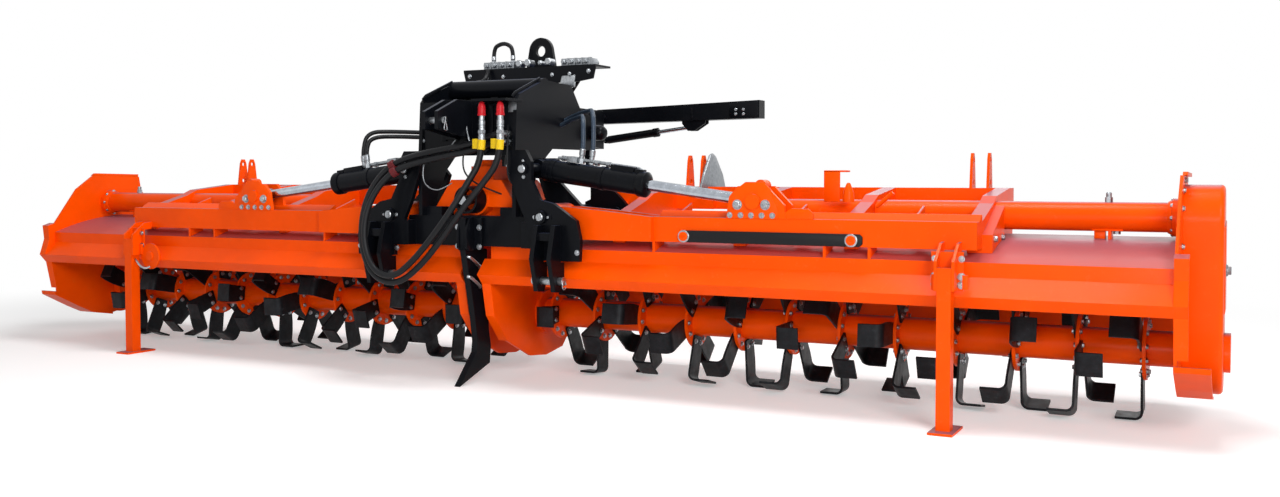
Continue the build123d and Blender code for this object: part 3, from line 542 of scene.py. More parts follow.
def white_floor():
    """A pale floor that keeps the shadow near the object and turns white further out."""
    made, tree, shader = new_material("pale_floor", Roughness=0.9, Specular_IOR_Level=0,
                                      Base_Color=linear("#EDEDED"))
    seen = seen_directly(tree)
    place = add_node(tree, "ShaderNodeTexCoord").outputs["Object"]
    away = add_node(tree, "ShaderNodeVectorMath", links={0: place}, operation="LENGTH")
    far = add_node(tree, "ShaderNodeMapRange", {"From Min": FLOOR_NEAR, "From Max": FLOOR_FAR},
                   {"Value": away.outputs["Value"]}, interpolation_type="SMOOTHSTEP")
    share = add_node(tree, "ShaderNodeMath", links={0: far.outputs["Result"], 1: seen}, operation="MULTIPLY")
    lift = add_node(tree, "ShaderNodeMath", {1: 0.3}, {0: seen}, operation="MULTIPLY")
    glow = add_node(tree, "ShaderNodeEmission", {"Color": (1, 1, 1, 1)}, {"Strength": lift.outputs[0]})
    near = add_node(tree, "ShaderNodeAddShader", links={0: shader.outputs[0], 1: glow.outputs[0]})
    white = add_node(tree, "ShaderNodeEmission", {"Color": (1, 1, 1, 1), "Strength": 1.0})
    both = add_node(tree, "ShaderNodeMixShader", links={0: share.outputs[0], 1: near.outputs[0],
                                                        2: white.outputs[0]})
    tree.links.new(both.outputs[0], tree.nodes["Material Output"].inputs["Surface"])
    return made


class ROTA_OT_materials(RotaOperator, bpy.types.Operator):
    """Makes the finishes that the pieces share"""
    bl_idname = "rota.materials"
    bl_label = "Materials"

    def execute(self, context):
        colours = context.scene.rota_colours
        MATERIALS.update({
            # the fifth colour of each enamel is its painted sky reflection: grey-mauve on the orange, bluish
            # on the black
            "orange": paint("orange_enamel", tuple(colours.orange), toned(colours.orange, 0.86),
                            linear("#E87A48"), linear("#785F70"), 0.07, 0.34),
            "black": paint("black_enamel", tuple(colours.black), toned(colours.black, 0.6),
                           linear("#1E2026"), linear("#2C3244"), 0.08, 0.36),
            "blade": forged_steel("scaled_spring_steel"),
            # zinc plate on bolts and pins: pale grey with small darker clouds
            "zinc": bare_metal("bright_zinc", "#B9BDC1", "#7C8084", 0.32, 6.0),
            # dipped zinc on valves, pipes and plates: duller, in broader clouds
            "galvanised": bare_metal("dull_galvanised", "#A0A4A8", "#787C80", 0.42, 14.0),
            # ground chrome on the rods: bright, smooth and nearly even
            "chrome": bare_metal("ground_chrome", "#B8BEC6", "#9CA2AA", 0.14, 30.0),
            # covers, caps and tags: even colours, each with its own fine grain
            "rubber": moulded("hose_rubber", tuple(colours.rubber), toned(colours.rubber, 0.6), 0.45, 2.0),
            "red": moulded("red_plastic", tuple(colours.red), toned(colours.red, 0.7), 0.35, 3.0),
            "dark_red": moulded("dark_red_rubber", linear("#6A1E22"), linear("#451216"), 0.5, 3.0),
            "sheath": moulded("blue_hose_sheath", linear("#3C4A5A"), linear("#232D3A"), 0.35, 4.0),
            "yellow": moulded("yellow_tag_plastic", tuple(colours.yellow), toned(colours.yellow, 0.8),
                              0.45, 3.0),
        })
        return {"FINISHED"}


class ROTA_OT_finishes(RotaOperator, bpy.types.Operator):
    """Gives every piece of the frame its finish"""
    bl_idname = "rota.finishes"
    bl_label = "Finishes"

    def execute(self, context):
        slots = {part["node"]: part["material_slot"] for part in frame["record"]["subparts"]}
        for name, piece in frame["nodes"].items():
            finish = "black" if name in BLACK_PINS else SLOT_MATERIALS[slots[name]]
            piece.data.materials.clear()
            piece.data.materials.append(MATERIALS[finish])
        return {"FINISHED"}


# ---------------------------------------------------------------- hoses to the tractor
def line_places(places):
    """Points along the smooth line of a route."""
    holder = nurbs_line("line", places)
    mesh = bpy.data.meshes.new_from_object(holder)
    found = [vertex.co.copy() for vertex in mesh.vertices]
    bpy.data.objects.remove(holder)
    bpy.data.meshes.remove(mesh)
    return found


def add_band(shape, line, near, radius, length):
    """Adds a band round a hose, at the point of its line nearest to a place."""
    i = min(range(1, len(line) - 1), key=lambda k: (line[k] - near).length)
    way = (line[i + 1] - line[i - 1]).normalized()
    half = length / 2
    start = line[i] - way * half / 1000
    add_turned(shape, start, way, [(0, radius - 1.5), (1.5, radius), (length - 1.5, radius),
                                   (length, radius - 1.5)])


class ROTA_OT_hoses(RotaOperator, bpy.types.Operator):
    """Makes the two tractor hoses with their sleeves, couplers, caps, tags and clamp"""
    bl_idname = "rota.hoses"
    bl_label = "Tractor hoses"

    def execute(self, context):
        radius = context.scene.rota_pipes.hose * 1000
        for name, (length, route) in HOSE_ROUTES.items():
            places = [at(*place) for place in route]
            hose = nurbs_line(name + "_line", places, radius)
            hose.data.materials.append(MATERIALS["rubber"])
            context.collection.objects.link(hose)
            line = line_places(places)
            x, y, z = route[-1]
            top = at(x, y, z)
            shape = bmesh.new()
            add_turned(shape, top, UP, [(-38, 15.5), (-36, 17), (-4, 17), (-2, 14), (0, 14)])
            add_turned(shape, top, UP, [(-2, 19), (14, 19)], 6)
            add_turned(shape, top, UP, [(14, 15), (26, 15), (28, 17), (34, 17), (35, 16), (38, 16), (39, 17),
                                        (58, 17), (60, 14.5), (COUPLER_TOP - z + 4, 14.5)])
            add_fitting(shape, at(*route[0]), AHEAD, radius + 1, 45)
            coupler = make_piece(context, name.replace("hose", "coupler"), shape, "zinc", "headstock")
            shape = bmesh.new()
            add_turned(shape, at(x, y, COUPLER_TOP), UP, [(0, 19), (1, 20), (9, 20), (10, 18.5), (40, 17.5),
                                                          (58, 13), (CAP_TOP - COUPLER_TOP, 7)])
            cap = make_piece(context, name.replace("hose", "cap"), shape, "red", "headstock")
            shape = bmesh.new()
            add_band(shape, line, at(x, y, z - 48), radius + 3.5, 46)
            add_block(shape, (x - 52, x - radius), (y - 2, y + 2), (z - 71, z - 25), 0.6)
            tag = make_piece(context, name.replace("hose", "tag"), shape, "yellow", "headstock")
            shape = bmesh.new()
            add_band(shape, line, at(-356, -188, 1034), radius + 9, 30)
            clamp = make_piece(context, name.replace("hose", "clamp"), shape, "dark_red", "headstock")
            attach(hose, "headstock")
            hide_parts(name)
            if name == "hose_a":
                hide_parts("hose_couplers")
                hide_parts("coupler_caps")
        return {"FINISHED"}


# ---------------------------------------------------------------- fastenings
def headstock_bolts():
    """Bolt heads on the centre frame, the tower and the tray, as (place, facing, radius)."""
    found = [((s * 62, -58, z), AHEAD, 11) for s in (-1, 1) for z in (658, 749)]
    x, z = CYLINDER_BASE
    for s in (-1, 1):
        for away in (-37, 37):
            found += [((s * x, FRONT_FACE, z + away), AHEAD, 7), ((s * x, 170, z + away), BEHIND, 7),
                      ((s * HINGE_X + away, FRONT_FACE, HINGE_HIGH), AHEAD, 7),
                      ((s * HINGE_X + away, REAR_FACE, HINGE_HIGH), BEHIND, 7)]
        found += [((s * 624, FRONT_FACE, 648), AHEAD, 10), ((s * 395, FRONT_FACE, 642), AHEAD, 10),
                  ((s * 92, -85, 1195), AHEAD, 9), ((s * 92, -85, 1320), AHEAD, 9),
                  ((s * 262, TOWER_FACE, 1163), AHEAD, 8), ((s * 230, REAR_FACE, 800), BEHIND, 12),
                  ((s * 360, TRAY_FACE, 1517), AHEAD, 9)]
    found += [((x, TRAY_FACE, 1507), AHEAD, 8) for x in (-250, -150, 147, 250)]
    found += [((x, TRAY_BACK, 1578), BEHIND, 9) for x in (-55, 55)]
    return found


def wing_bolts(s):
    """Bolt heads on a wing."""
    outward = (s, 0, 0)
    found = [((s * x, CHEEK_FACE, 871), AHEAD, 17) for x in (1363, 1490)]
    found += [((s * x, CHEEK_FACE, 826), AHEAD, 10) for x in (1328, 1378, 1426, 1474, 1522)]
    found += [((s * x, STAND_FACE, z), AHEAD, 12) for x in (2222, 2325) for z in (604, 572)]
    found += [((s * 2325, STAND_FACE, 673), AHEAD, 10), ((s * 2222, STAND_FACE, 673), AHEAD, 10)]
    found += [((s * 2407, y, z), outward, 12) for y, z in ((150, 742), (150, 650), (300, 742), (300, 650))]
    found += [(place, outward, 10) for place in case_ring(s * END_PLATE_X, 22)]
    found += [(place, (-s, 0, 0), 8) for place in ring_of(s * 3040, *CASE_TOP[:2], 67, 8)]
    return found


def case_ring(x, away):
    """Places on the end plate round the drive case, that far outside it."""
    (top_y, top_z, top_r), (low_y, low_z, low_r) = CASE_TOP, CASE_LOW
    found = []
    for degrees in (15, 45, 75, 105, 135, 165):
        turn = math.radians(degrees)
        found.append((x, top_y + (top_r + away) * math.cos(turn), top_z + (top_r + away) * math.sin(turn)))
    for share in (0.2, 0.4, 0.6, 0.8):
        radius = top_r + (low_r - top_r) * share + away
        for out in (-1, 1):
            found.append((x, top_y + (low_y - top_y) * share + out * radius, top_z + (low_z - top_z) * share))
    return found


def rotor_bolts(s):
    """Bolt heads of a rotor's blades, standing on a blade's root where there is one."""
    pitch = (FLANGE_LAST - FLANGE_FIRST) / (FLANGE_COUNT - 1)
    found = []
    for i in range(FLANGE_COUNT):
        for face in (-1, 1):
            bare = (i == 0 and face < 0) or (i == FLANGE_COUNT - 1 and face > 0)
            for k in range(12):
                away = (15 + 30 * k + (60 if face > 0 else 0)) % 120
                rise = BLADE_THICK if not bare and min(away, 120 - away) < 20 else 0
                x = FLANGE_FIRST + i * pitch + face * (FLANGE_HALF + rise)
                turn = math.radians(i * HELIX_DEG + 15 + 30 * k)
                spot = (s * x, ROTOR_BACK + BLADE_BOLT_RING * math.cos(turn),
                        ROTOR_HIGH + BLADE_BOLT_RING * math.sin(turn))
                found.append((spot, (s * face, 0, 0), 9.5))
    return found


class ROTA_OT_bolts(RotaOperator, bpy.types.Operator):
    """Puts the bolt heads on every body, one mesh for each"""
    bl_idname = "rota.bolts"
    bl_label = "Bolts"

    def execute(self, context):
        tree = bolt_tree()
        make_bolts(context, tree, "headstock", headstock_bolts())
        for side, s in SIDES:
            make_bolts(context, tree, f"wing_{side}", wing_bolts(s))
            make_bolts(context, tree, f"rotor_{side}", rotor_bolts(s))
        make_bolts(context, tree, "side_arm", [((x, 1190, z), AHEAD, 9) for x in (852, 897)
                                               for z in (1324, 1348)])
        return {"FINISHED"}


class ROTA_OT_pin_ends(RotaOperator, bpy.types.Operator):
    """Makes the bright ends of the hinge pins, with their keeper plates"""
    bl_idname = "rota.pin_ends"
    bl_label = "Pin ends"

    def execute(self, context):
        bright, keepers = bmesh.new(), bmesh.new()
        button = [(-1, 19), (5, 19), (8, 16), (8.5, 0.5)]
        x, z = CYLINDER_BASE
        for s in (-1, 1):
            for px, pz, rear in ((s * x, z, 184), (s * HINGE_X, HINGE_HIGH, PIN_BACK)):
                add_turned(bright, at(px, FRONT_FACE - 14, pz), AHEAD, button)
                add_turned(bright, at(px, rear, pz), BEHIND, button)
            for wide, high in (((s * x - 9, s * x + 9), (z + 26, z + 50)), ((s * 462, s * 490), (794, 816))):
                add_block(keepers, wide, (FRONT_FACE - 4, FRONT_FACE), high)
            middle = s * LINK_X
            for out in (-1, 1):
                add_turned(bright, at(middle + out * LINK_HALF, LINK_Y, LINK_HIGH), (out, 0, 0),
                           [(-1, 18), (4, 20), (10, 20), (12, 17)])
            # ring pull of the link pin's safety clip
            turns = [t * math.pi / 6 for t in range(12)]
            add_pipe(bright, [(middle + LINK_HALF + 12, LINK_Y + 16 * math.cos(t),
                               LINK_HIGH - 17 + 20 * math.sin(t)) for t in turns], CLIP_WIRE)
        for out in (-1, 1):
            add_turned(bright, at(out * TOP_LINK_HALF, TOP_LINK_Y, TOP_LINK_HIGH), (out, 0, 0),
                       [(-1, 17), (8, 17), (14, 15)])
        add_pipe(bright, [(58, -310, 1262), (60, -318, 1230), (62, -330, 1205), (60, -300, 1198),
                          (58, -302, 1228), (58, -310, 1240)], CLIP_WIRE)
        make_piece(context, "pin_ends", bright, "zinc", "headstock")
        make_piece(context, "pin_keepers", keepers, "black", "headstock")
        return {"FINISHED"}


# ---------------------------------------------------------------- centre
class ROTA_OT_ripper_clips(RotaOperator, bpy.types.Operator):
    """Makes the two bright clips on the ripper's shank and the holder's side plates"""
    bl_idname = "rota.ripper_clips"
    bl_label = "Ripper clips"

    def execute(self, context):
        shape = bmesh.new()
        for z in (611, 517):
            add_pipe(shape, [(14, -86, z), (21, -85, z - 1), (26, -78, z - 4), (26, -40, z - 28),
                             (26, 0, z - 54), (21, 6, z - 58), (14, 7, z - 59)], 8)
        make_piece(context, "ripper_clips", shape, "zinc", "headstock")
        shape = bmesh.new()
        for out in (-1, 1):
            add_plate(shape, "x", [(-58, 640), (-58, 800), (-90, 790), (-112, 740), (-112, 655), (-96, 640)],
                      (out * 18, out * 30))
        make_piece(context, "ripper_cheeks", shape, "black", "headstock")
        return {"FINISHED"}


class ROTA_OT_tower_parts(RotaOperator, bpy.types.Operator):
    """Makes the blank plate, the wires and the small parts on the tower"""
    bl_idname = "rota.tower_parts"
    bl_label = "Tower parts"

    def execute(self, context):
        radius = context.scene.rota_pipes.wire * 1000
        shape = bmesh.new()
        add_block(shape, (232, 278), (TOWER_FACE - 3, TOWER_FACE), (1290, 1336), 0.8)
        make_piece(context, "blank_plate", shape, "galvanised", "headstock")
        shape = bmesh.new()
        add_pipe(shape, [(30, -62, 1338), (34, -80, 1320), (35, -110, 1290), (34, -122, 1250),
                         (46, -130, 1205), (62, -135, 1160), (70, -120, 1120), (60, -62, 1110)], radius + 1)
        add_pipe(shape, [(-28, -62, 1200), (-40, -70, 1185), (-75, -75, 1150), (-112, -70, 1112)], radius)
        add_pipe(shape, [(-225, -102, 1060), (-229, -112, 1010), (-215, -114, 955), (-168, -112, 926),
                         (-118, -108, 928), (-92, -60, 960)], radius)
        make_piece(context, "pale_wires", shape, "galvanised", "headstock")
        shape = bmesh.new()
        add_pipe(shape, [(-18, -60, 1130), (-22, -72, 1075), (-16, -70, 1010), (30, -60, 965),
                         (96, -30, 930), (150, 10, 905)], radius + 1)
        add_pipe(shape, [(232, -62, 1230), (250, -90, 1180), (262, -118, 1110), (264, -118, 1040),
                         (258, -104, 985), (262, -76, 960)], radius + 2)
        make_piece(context, "dark_wires", shape, "rubber", "headstock")
        shape = bmesh.new()
        # welded ribs and stiffeners of the tower's front, and the bent ears at its top corner
        add_plate(shape, "y", [(60, 1100), (110, 1100), (130, 1120), (130, 1165), (60, 1165)],
                  (TOWER_FACE - 12, TOWER_FACE))
        for s in (-1, 1):
            add_plate(shape, "x", [(-60, 1350), (-38, 1372), (176, 1458), (170, 1470), (-46, 1388),
                                   (-72, 1366)], (s * 255, s * 262))
            add_plate(shape, "y", [(s * 120, 1160), (s * 150, 1160), (s * 150, 1330), (s * 120, 1330)],
                      (TOWER_FACE - 8, TOWER_FACE))
        add_turned(shape, at(0, TOWER_FACE, 1140), AHEAD, [(0, 26), (8, 26), (10, 22), (18, 22)])
        make_piece(context, "tower_ribs", shape, "black", "headstock")
        return {"FINISHED"}


class ROTA_OT_valves(RotaOperator, bpy.types.Operator):
    """Makes the two banks of spool valves on the tray, their fittings and the hose loop"""
    bl_idname = "rota.valves"
    bl_label = "Valves"

    def execute(self, context):
        shape = bmesh.new()
        for low, high in VALVE_BANKS:
            width = (high - low) / VALVE_COUNT
            for i in range(VALVE_COUNT):
                x, middle = low + width * i, low + width * (i + 0.5)
                add_block(shape, (x + 1, x + width - 1), (VALVE_FRONT, VALVE_REAR),
                          (VALVE_FOOT, VALVE_TOP), 2)
                add_turned(shape, at(middle, VALVE_FRONT, VALVE_FOOT + 20), AHEAD,
                           [(-1, 12), (14, 12), (16, 9), (22, 9)], 16)
                add_turned(shape, at(middle, VALVE_REAR, VALVE_FOOT + 20), BEHIND,
                           [(-1, 14), (26, 14), (28, 11)], 16)
                add_turned(shape, at(middle, VALVE_FRONT + 42, VALVE_TOP), UP, [(-1, 11), (5, 11)], 6)
        valves = make_piece(context, "valve_banks", shape, "galvanised", "headstock")
        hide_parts("valve_blocks")
        shape = bmesh.new()
        for x, z, r in ((-58, 1572, 17), (-5, 1574, 18), (118, 1576, 17), (70, 1572, 10)):
            add_turned(shape, at(x, 500, z), AHEAD, [(-20, r), (30, r), (33, r - 3), (33.5, 1)])
            add_turned(shape, at(x, 478, z), AHEAD, [(0, r + 3), (8, r + 3)], 6)
        add_plate(shape, "x", [(452, 1440), (465, 1440), (465, 1500), (452, 1470)], (205, 285))
        for x in (-231, -112):
            add_fitting(shape, at(x, VALVE_FRONT + 10, VALVE_TOP - 4), UP, 12, 34)
        make_piece(context, "tray_fittings", shape, "zinc", "headstock")
        shape = bmesh.new()
        radius = context.scene.rota_pipes.supply * 1000
        add_pipe(shape, [(-231, 500, 1590), (-233, 500, 1660), (-190, 500, 1682), (-150, 500, 1682),
                         (-110, 500, 1655), (-112, 500, 1590)], radius)
        add_pipe(shape, [(-231, 452, 1545), (-233, 440, 1510), (-231, 400, 1478), (-225, 330, 1470)], radius)
        for x, rise in ((-250, 0), (-215, 8), (210, 0), (250, 8)):
            add_pipe(shape, [(x, 580, 1562 + rise), (x, 640, 1562 + rise), (x * 0.8, 660, 1500),
                             (x * 0.5, 655, 1400), (x * 0.4, 640, 1280), (x * 0.4, 600, 1215)], radius - 2)
        make_piece(context, "tray_hoses", shape, "rubber", "headstock")
        return {"FINISHED"}


# ---------------------------------------------------------------- cylinders
def on_cylinder(s, along, rise=0.0, back=0.0):
    """A place on a fold cylinder: along its axis from the base pin, then square to it and rearwards."""
    (bx, bz), (ex, ez) = CYLINDER_BASE, ROD_EYE
    run = math.dist(CYLINDER_BASE, ROD_EYE)
    ax, az = (ex - bx) / run, (ez - bz) / run
    return at(s * (bx + ax * along - az * rise), CYLINDER_BACK + back, bz + az * along + ax * rise)


def make_supply_hose(context, name, places, radius, finish):
    """A hose between the tower and a barrel, one fixed mesh in the frame's axes that is joined to no body."""
    shape = bmesh.new()
    add_pipe(shape, places, radius, 4)
    hose = make_piece(context, name, shape, finish, None)
    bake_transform(hose)


class ROTA_OT_cylinder_parts(RotaOperator, bpy.types.Operator):
    """Makes the glands, blocks, pipes and hoses of the two fold cylinders"""
    bl_idname = "rota.cylinder_parts"
    bl_label = "Cylinder parts"

    def execute(self, context):
        sizes = context.scene.rota_pipes
        pipe, supply = sizes.pipe * 1000, sizes.supply * 1000
        for side, s in SIDES:
            body = f"barrel_{side}"
            way = on_cylinder(s, 1) - on_cylinder(s, 0)
            over = on_cylinder(s, 0, 1) - on_cylinder(s, 0)
            dark = bmesh.new()
            add_turned(dark, on_cylinder(s, BARREL_LENGTH - 42), way,
                       [(0, BARREL_R - 2), (0, BARREL_R + 5), (3, BARREL_R + 7), (36, BARREL_R + 7),
                        (40, BARREL_R + 4), (46, BARREL_R - 6), (50, ROD_R + 10), (50, ROD_R + 1),
                        (38, ROD_R + 1), (38, BARREL_R - 2)], 40, ring=True)
            for along in (70, 330):
                add_turned(dark, on_cylinder(s, along), way,
                           [(0, BARREL_R - 1), (0, BARREL_R + 4), (22, BARREL_R + 4), (22, BARREL_R - 1)], 40,
                           ring=True)
            add_turned(dark, on_cylinder(s, 30), way,
                       [(0, 38), (10, 44), (20, BARREL_R + 2), (34, BARREL_R + 2)], 40)
            # lock valve over the barrel's outer half
            for along, long, tall in ((380, 120, 26), (505, 40, 20)):
                low, high = on_cylinder(s, along, BARREL_R - 6), on_cylinder(s, along + long, BARREL_R - 6)
                up = over * tall
                add_plate(dark, "y", [(c.x * 1000, c.z * 1000) for c in (low, high, high + up, low + up)],
                          (28, 72), 2.5)
            make_piece(context, f"cylinder_mounts_{side}", dark, "black", body)
            bright = bmesh.new()
            add_pipe(bright, [on_cylinder(s, along, BARREL_R + rise, back) for along, rise, back in (
                (90, 12, 0), (140, 16, 4), (230, 18, 6), (330, 18, 6), (372, 16, 4), (392, 8, 0))], pipe)
            add_pipe(bright, [on_cylinder(s, along, BARREL_R + rise, back) for along, rise, back in (
                (150, 12, 22), (200, 15, 24), (330, 15, 24), (470, 16, 24), (525, 14, 10), (540, 2, 0))],
                pipe)
            for along, back in SUPPLY_PORTS[side]:
                block_low = on_cylinder(s, along, BARREL_R + 2, back)
                add_turned(bright, block_low, over, [(0, 17), (22, 17)], 6)
                add_turned(bright, block_low, over, [(20, 12), (38, 12), (40, 14), (66, 14), (68, 12)], 20)
            for along in (120, 300, 360):
                spot = on_cylinder(s, along, BARREL_R + 14, 0)
                add_turned(bright, spot - way * 9, way, [(0, 14), (18, 14)], 6)
            low, high = on_cylinder(s, 150, BARREL_R + 2), on_cylinder(s, 205, BARREL_R + 2)
            up = over * 26
            add_plate(bright, "y", [(c.x * 1000, c.z * 1000) for c in (low, high, high + up, low + up)],
                      (22, 84), 2)
            make_piece(context, f"cylinder_pipes_{side}", bright, "galvanised", body)
            for i, (along, back) in enumerate(SUPPLY_PORTS[side]):
                foot = on_cylinder(s, along, BARREL_R + 60, back)
                x = s * foot.x * 1000
                top = SUPPLY_TOPS[side] + i * 26
                places = [at(s * 281, 330 + i * 40, top - 20), at(s * 330, 320 + i * 40, top),
                          at(s * (x - 90), 190, top + 14), at(s * (x - 8), 70 + back, top + 8),
                          on_cylinder(s, along, BARREL_R + 96, back), foot]
                make_supply_hose(context, f"supply_hose_{i}_{side}", places, supply,
                                 "sheath" if side == "right" else "rubber")
            # clevis collar at the rod's eye
            shape = bmesh.new()
            add_turned(shape, on_cylinder(s, math.dist(CYLINDER_BASE, ROD_EYE) - 76), way,
                       [(0, ROD_R + 3), (4, ROD_R + 8), (30, ROD_R + 8), (44, 36)], 32)
            make_piece(context, f"rod_collar_{side}", shape, "galvanised", f"rod_{side}")
        return {"FINISHED"}


# ---------------------------------------------------------------- wings
class ROTA_OT_wing_parts(RotaOperator, bpy.types.Operator):
    """Makes the small parts on the wings: buffers, ears, brackets, covers and locks"""
    bl_idname = "rota.wing_parts"
    bl_label = "Wing parts"

    def execute(self, context):
        for side, s in SIDES:
            body = f"wing_{side}"
            made = bmesh.new()
            # plates of the rod eye's bracket, its crown boss and a low ear beside them
            add_plate(made, "y", [(s * x, z) for x, z in (
                (1318, 813), (1545, 813), (1545, 850), (1520, 900), (1512, 940), (1478, 968), (1400, 968),
                (1372, 948), (1330, 905), (1318, 870))], (CHEEK_FACE, 0))
            add_plate(made, "y", [(s * x, z) for x, z in (
                (1560, 813), (1700, 813), (1700, 838), (1678, 856), (1606, 858), (1578, 840))], (-4, 8))
            add_turned(made, at(s * 1466, -4, 952), BEHIND, [(0, 26), (62, 26)], 28)
            # cover plate on the end plate's top, over the drive case
            add_plate(made, "x", [(277, 996), (617, 989), (620, 1004), (300, 1010)],
                      (s * (END_PLATE_X - 4), s * (END_PLATE_X + 14)))
            # pressed panel on the drive case's face
            (top_y, top_z, top_r), (low_y, low_z, low_r) = CASE_TOP, CASE_LOW
            add_plate(made, "x", [(top_y - top_r + 48, top_z - 30), (top_y + top_r - 48, top_z - 10),
                                  (low_y + low_r - 56, low_z + 160), (low_y - low_r + 60, low_z + 160)],
                      (s * CASE_X, s * (CASE_X + 7)), 3)
            # clamp under the drive tube and its clip
            add_block(made, (s * 2752, s * 2794), (378, 422), (738, 774), 3)
            add_block(made, (s * 2806, s * 2818), (360, 440), (698, 774), 2)
            add_plate(made, "x", [(364, 774), (436, 774), (430, 784), (370, 784)], (s * 2744, s * 2860), 2)
            add_turned(made, at(s * 3022, *CASE_TOP[:2]), (s, 0, 0),
                       [(0, 58), (0, 62), (16, 70), (17, 70), (17, 58)], 36, ring=True)
            # shoulder plates of the stand's bracket
            for x in (2210, 2330):
                add_block(made, (s * x, s * (x + 22)), (-86, -76), (556, 612), 2)
            # welded stiffeners between the beams
            for x in (1000, 1560, 2080):
                add_plate(made, "x", [(110, 720), (110, 806), (300, 868), (300, 800)], (s * x, s * (x + 10)))
            make_piece(context, f"wing_fittings_{side}", made, "orange", body)
            shape = bmesh.new()
            # bare plate beside the inner lugs
            add_plate(shape, "x", [(600, 930), (905, 930), (870, 1000), (780, 1092), (745, 1106), (715, 1096),
                                   (640, 1000)], (s * 905, s * 917))
            add_turned(shape, at(s * 2804, 400, 886), UP, [(0, 15), (22, 15)], 6)
            add_turned(shape, at(s * 2804, 400, 906), UP, [(0, 11), (18, 11), (22, 8)], 18)
            add_turned(shape, at(s * 2836, 400, 774), DOWN, [(0, 14), (14, 14)], 6)
            make_piece(context, f"wing_bare_parts_{side}", shape, "galvanised", body)
        self.left_only(context)
        self.right_only(context)
        return {"FINISHED"}

    def left_only(self, context):
        """The lock of the left parking stand: a round plate, its boss and a spring pin."""
        shape = bmesh.new()
        add_turned(shape, at(-2154, STAND_FACE, 545), AHEAD, [(-6, 72), (2, 72), (4, 70), (4.5, 1)], 40)
        add_turned(shape, at(-2154, STAND_FACE + 4, 545), AHEAD, [(0, 26), (14, 26), (16, 24)], 24)
        add_block(shape, (-2212, -2150), (STAND_FACE - 4, STAND_FACE + 4), (500, 590), 2)
        make_piece(context, "stand_lock", shape, "orange", "wing_left")
        shape = bmesh.new()
        add_pipe(shape, [(-2240, -106, 528), (-2222, -112, 522), (-2196, -118, 500), (-2168, -116, 482),
                         (-2150, -104, 480), (-2142, -90, 488)], 6)
        make_piece(context, "stand_pin", shape, "zinc", "wing_left")

    def right_only(self, context):
        """The rubber buffer on the beam and the parts that stand on the right wing only."""
        shape = bmesh.new()
        add_plate(shape, "y", [(1112, 704), (1900, 704), (1912, 716), (1912, 744), (1900, 756), (1112, 756)],
                  (-14, 0), 3)
        make_piece(context, "beam_buffer", shape, "rubber", "wing_right")
        shape = bmesh.new()
        for x in (1112, 1866):
            add_turned(shape, at(x, -14, 730), AHEAD, [(-14, 27), (2, 27), (3, 25), (3, 21)], 28)
        make_piece(context, "buffer_washers", shape, "zinc", "wing_right")
        shape = bmesh.new()
        for x in (1112, 1866):
            add_turned(shape, at(x, -14, 730), AHEAD, [(0, 20), (8, 20), (9, 18), (9, 9), (5, 8)], 28)
        # angle bracket, cone and lever behind the front beam
        add_block(shape, (1645, 1718), (296, 304), (880, 1016), 2)
        add_block(shape, (1645, 1745), (296, 360), (1010, 1018), 2)
        add_turned(shape, at(1756, 300, 880), UP, [(0, 26), (40, 24), (80, 9), (84, 4)], 24)
        add_pipe(shape, [(1880, 300, 860), (1915, 300, 890), (1952, 300, 922)], 9)
        make_piece(context, "right_wing_parts", shape, "orange", "wing_right")


class ROTA_OT_hub_nuts(RotaOperator, bpy.types.Operator):
    """Makes the studs on the drive cases' faces"""
    bl_idname = "rota.hub_nuts"
    bl_label = "Hub nuts"

    def execute(self, context):
        for side, s in SIDES:
            shape = bmesh.new()
            add_turned(shape, at(s * (CASE_X + 2), 450, 625), (s, 0, 0),
                       [(0, 26), (6, 26), (8, 22), (12, 22)], 28)
            add_turned(shape, at(s * (CASE_X + 10), 450, 625), (s, 0, 0), [(0, 18), (14, 18), (16, 16)], 6)
            make_piece(context, f"hub_stud_{side}", shape, "galvanised", f"wing_{side}")
        return {"FINISHED"}


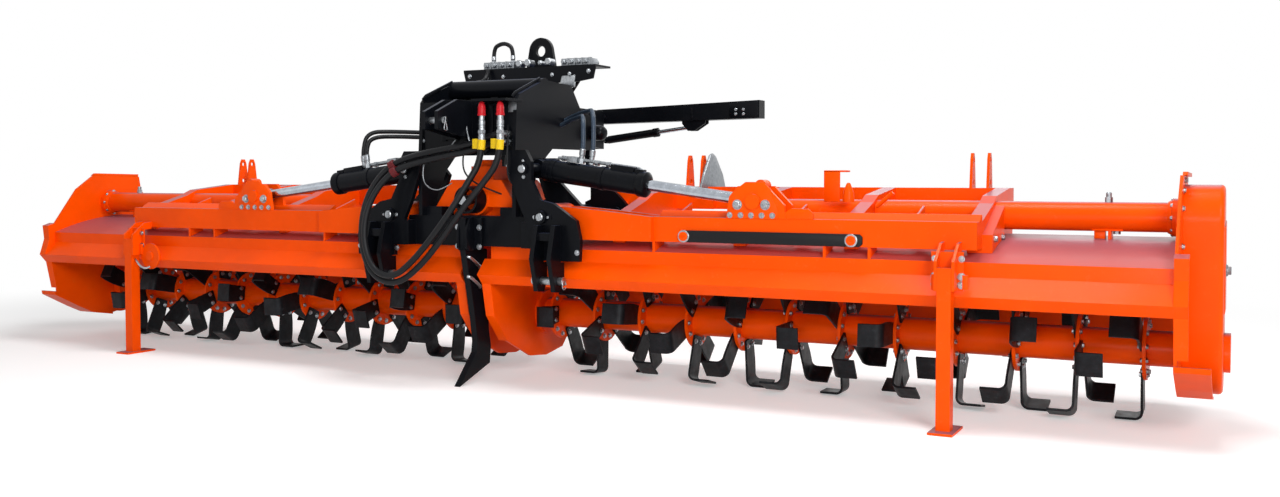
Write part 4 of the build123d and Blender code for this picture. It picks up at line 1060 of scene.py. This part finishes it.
class ROTA_OT_arm_parts(RotaOperator, bpy.types.Operator):
    """Makes the side arm's head plate and the fittings of its cylinder"""
    bl_idname = "rota.arm_parts"
    bl_label = "Side arm parts"

    def execute(self, context):
        shape = bmesh.new()
        add_plate(shape, "y", [(815, 1298), (981, 1300), (981, 1392), (940, 1394), (900, 1386), (815, 1380)],
                  (1184, 1190))
        add_block(shape, (590, 598), (1184, 1190), (1292, 1364), 1)
        make_piece(context, "arm_head", shape, "black", "side_arm")
        shape = bmesh.new()
        way = at(*ARM_EYE) - at(*ARM_BASE)
        add_turned(shape, at(*ARM_BASE) + way.normalized() * 0.302, way,
                   [(0, 20), (0, 25), (30, 25), (32, 22), (32, 12), (26, 12), (26, 20)], 28, ring=True)
        make_piece(context, "arm_gland", shape, "black", "arm_barrel")
        shape = bmesh.new()
        add_turned(shape, at(280, 640, 1216), (1, -0.1, -0.05),
                   [(0, 38), (30, 41), (66, 37), (78, 28), (84, 12)], 28)
        make_piece(context, "arm_pivot_cover", shape, "black", "headstock")
        return {"FINISHED"}


# ---------------------------------------------------------------- panel and run
STEPS = (ROTA_OT_stage, ROTA_OT_materials, ROTA_OT_hoses, ROTA_OT_finishes, ROTA_OT_bolts,
         ROTA_OT_pin_ends, ROTA_OT_ripper_clips, ROTA_OT_tower_parts, ROTA_OT_valves,
         ROTA_OT_cylinder_parts, ROTA_OT_wing_parts, ROTA_OT_hub_nuts, ROTA_OT_arm_parts)
SETTINGS = {"rota_stage": StageSizes, "rota_colours": Colours, "rota_bolts": BoltSizes,
            "rota_pipes": PipeSizes}


class ROTA_PT_steps(bpy.types.Panel):
    """Lists the settings and the steps in the 3D view's sidebar"""
    bl_label = "Rotavator"
    bl_space_type = "VIEW_3D"
    bl_region_type = "UI"
    bl_category = "Rotavator"

    def draw(self, context):
        for name, group in SETTINGS.items():
            box = self.layout.box()
            for setting in group.__annotations__:
                box.prop(getattr(context.scene, name), setting)
        for step in STEPS:
            self.layout.operator(step.bl_idname)


def register():
    for made in (*SETTINGS.values(), *STEPS, ROTA_PT_steps):
        bpy.utils.register_class(made)
    for name, group in SETTINGS.items():
        setattr(bpy.types.Scene, name, PointerProperty(type=group))


def unregister():
    for name in SETTINGS:
        delattr(bpy.types.Scene, name)
    for made in (ROTA_PT_steps, *reversed(STEPS), *SETTINGS.values()):
        bpy.utils.unregister_class(made)


def main():
    """Makes the scene."""
    register()
    bpy.ops.rota.stage()
    bpy.ops.rota.materials()
    bpy.ops.rota.hoses()
    bpy.ops.rota.finishes()
    bpy.ops.rota.bolts()
    bpy.ops.rota.pin_ends()
    bpy.ops.rota.ripper_clips()
    bpy.ops.rota.tower_parts()
    bpy.ops.rota.valves()
    bpy.ops.rota.cylinder_parts()
    bpy.ops.rota.wing_parts()
    bpy.ops.rota.hub_nuts()
    bpy.ops.rota.arm_parts()


if __name__ == "__main__":
    main()
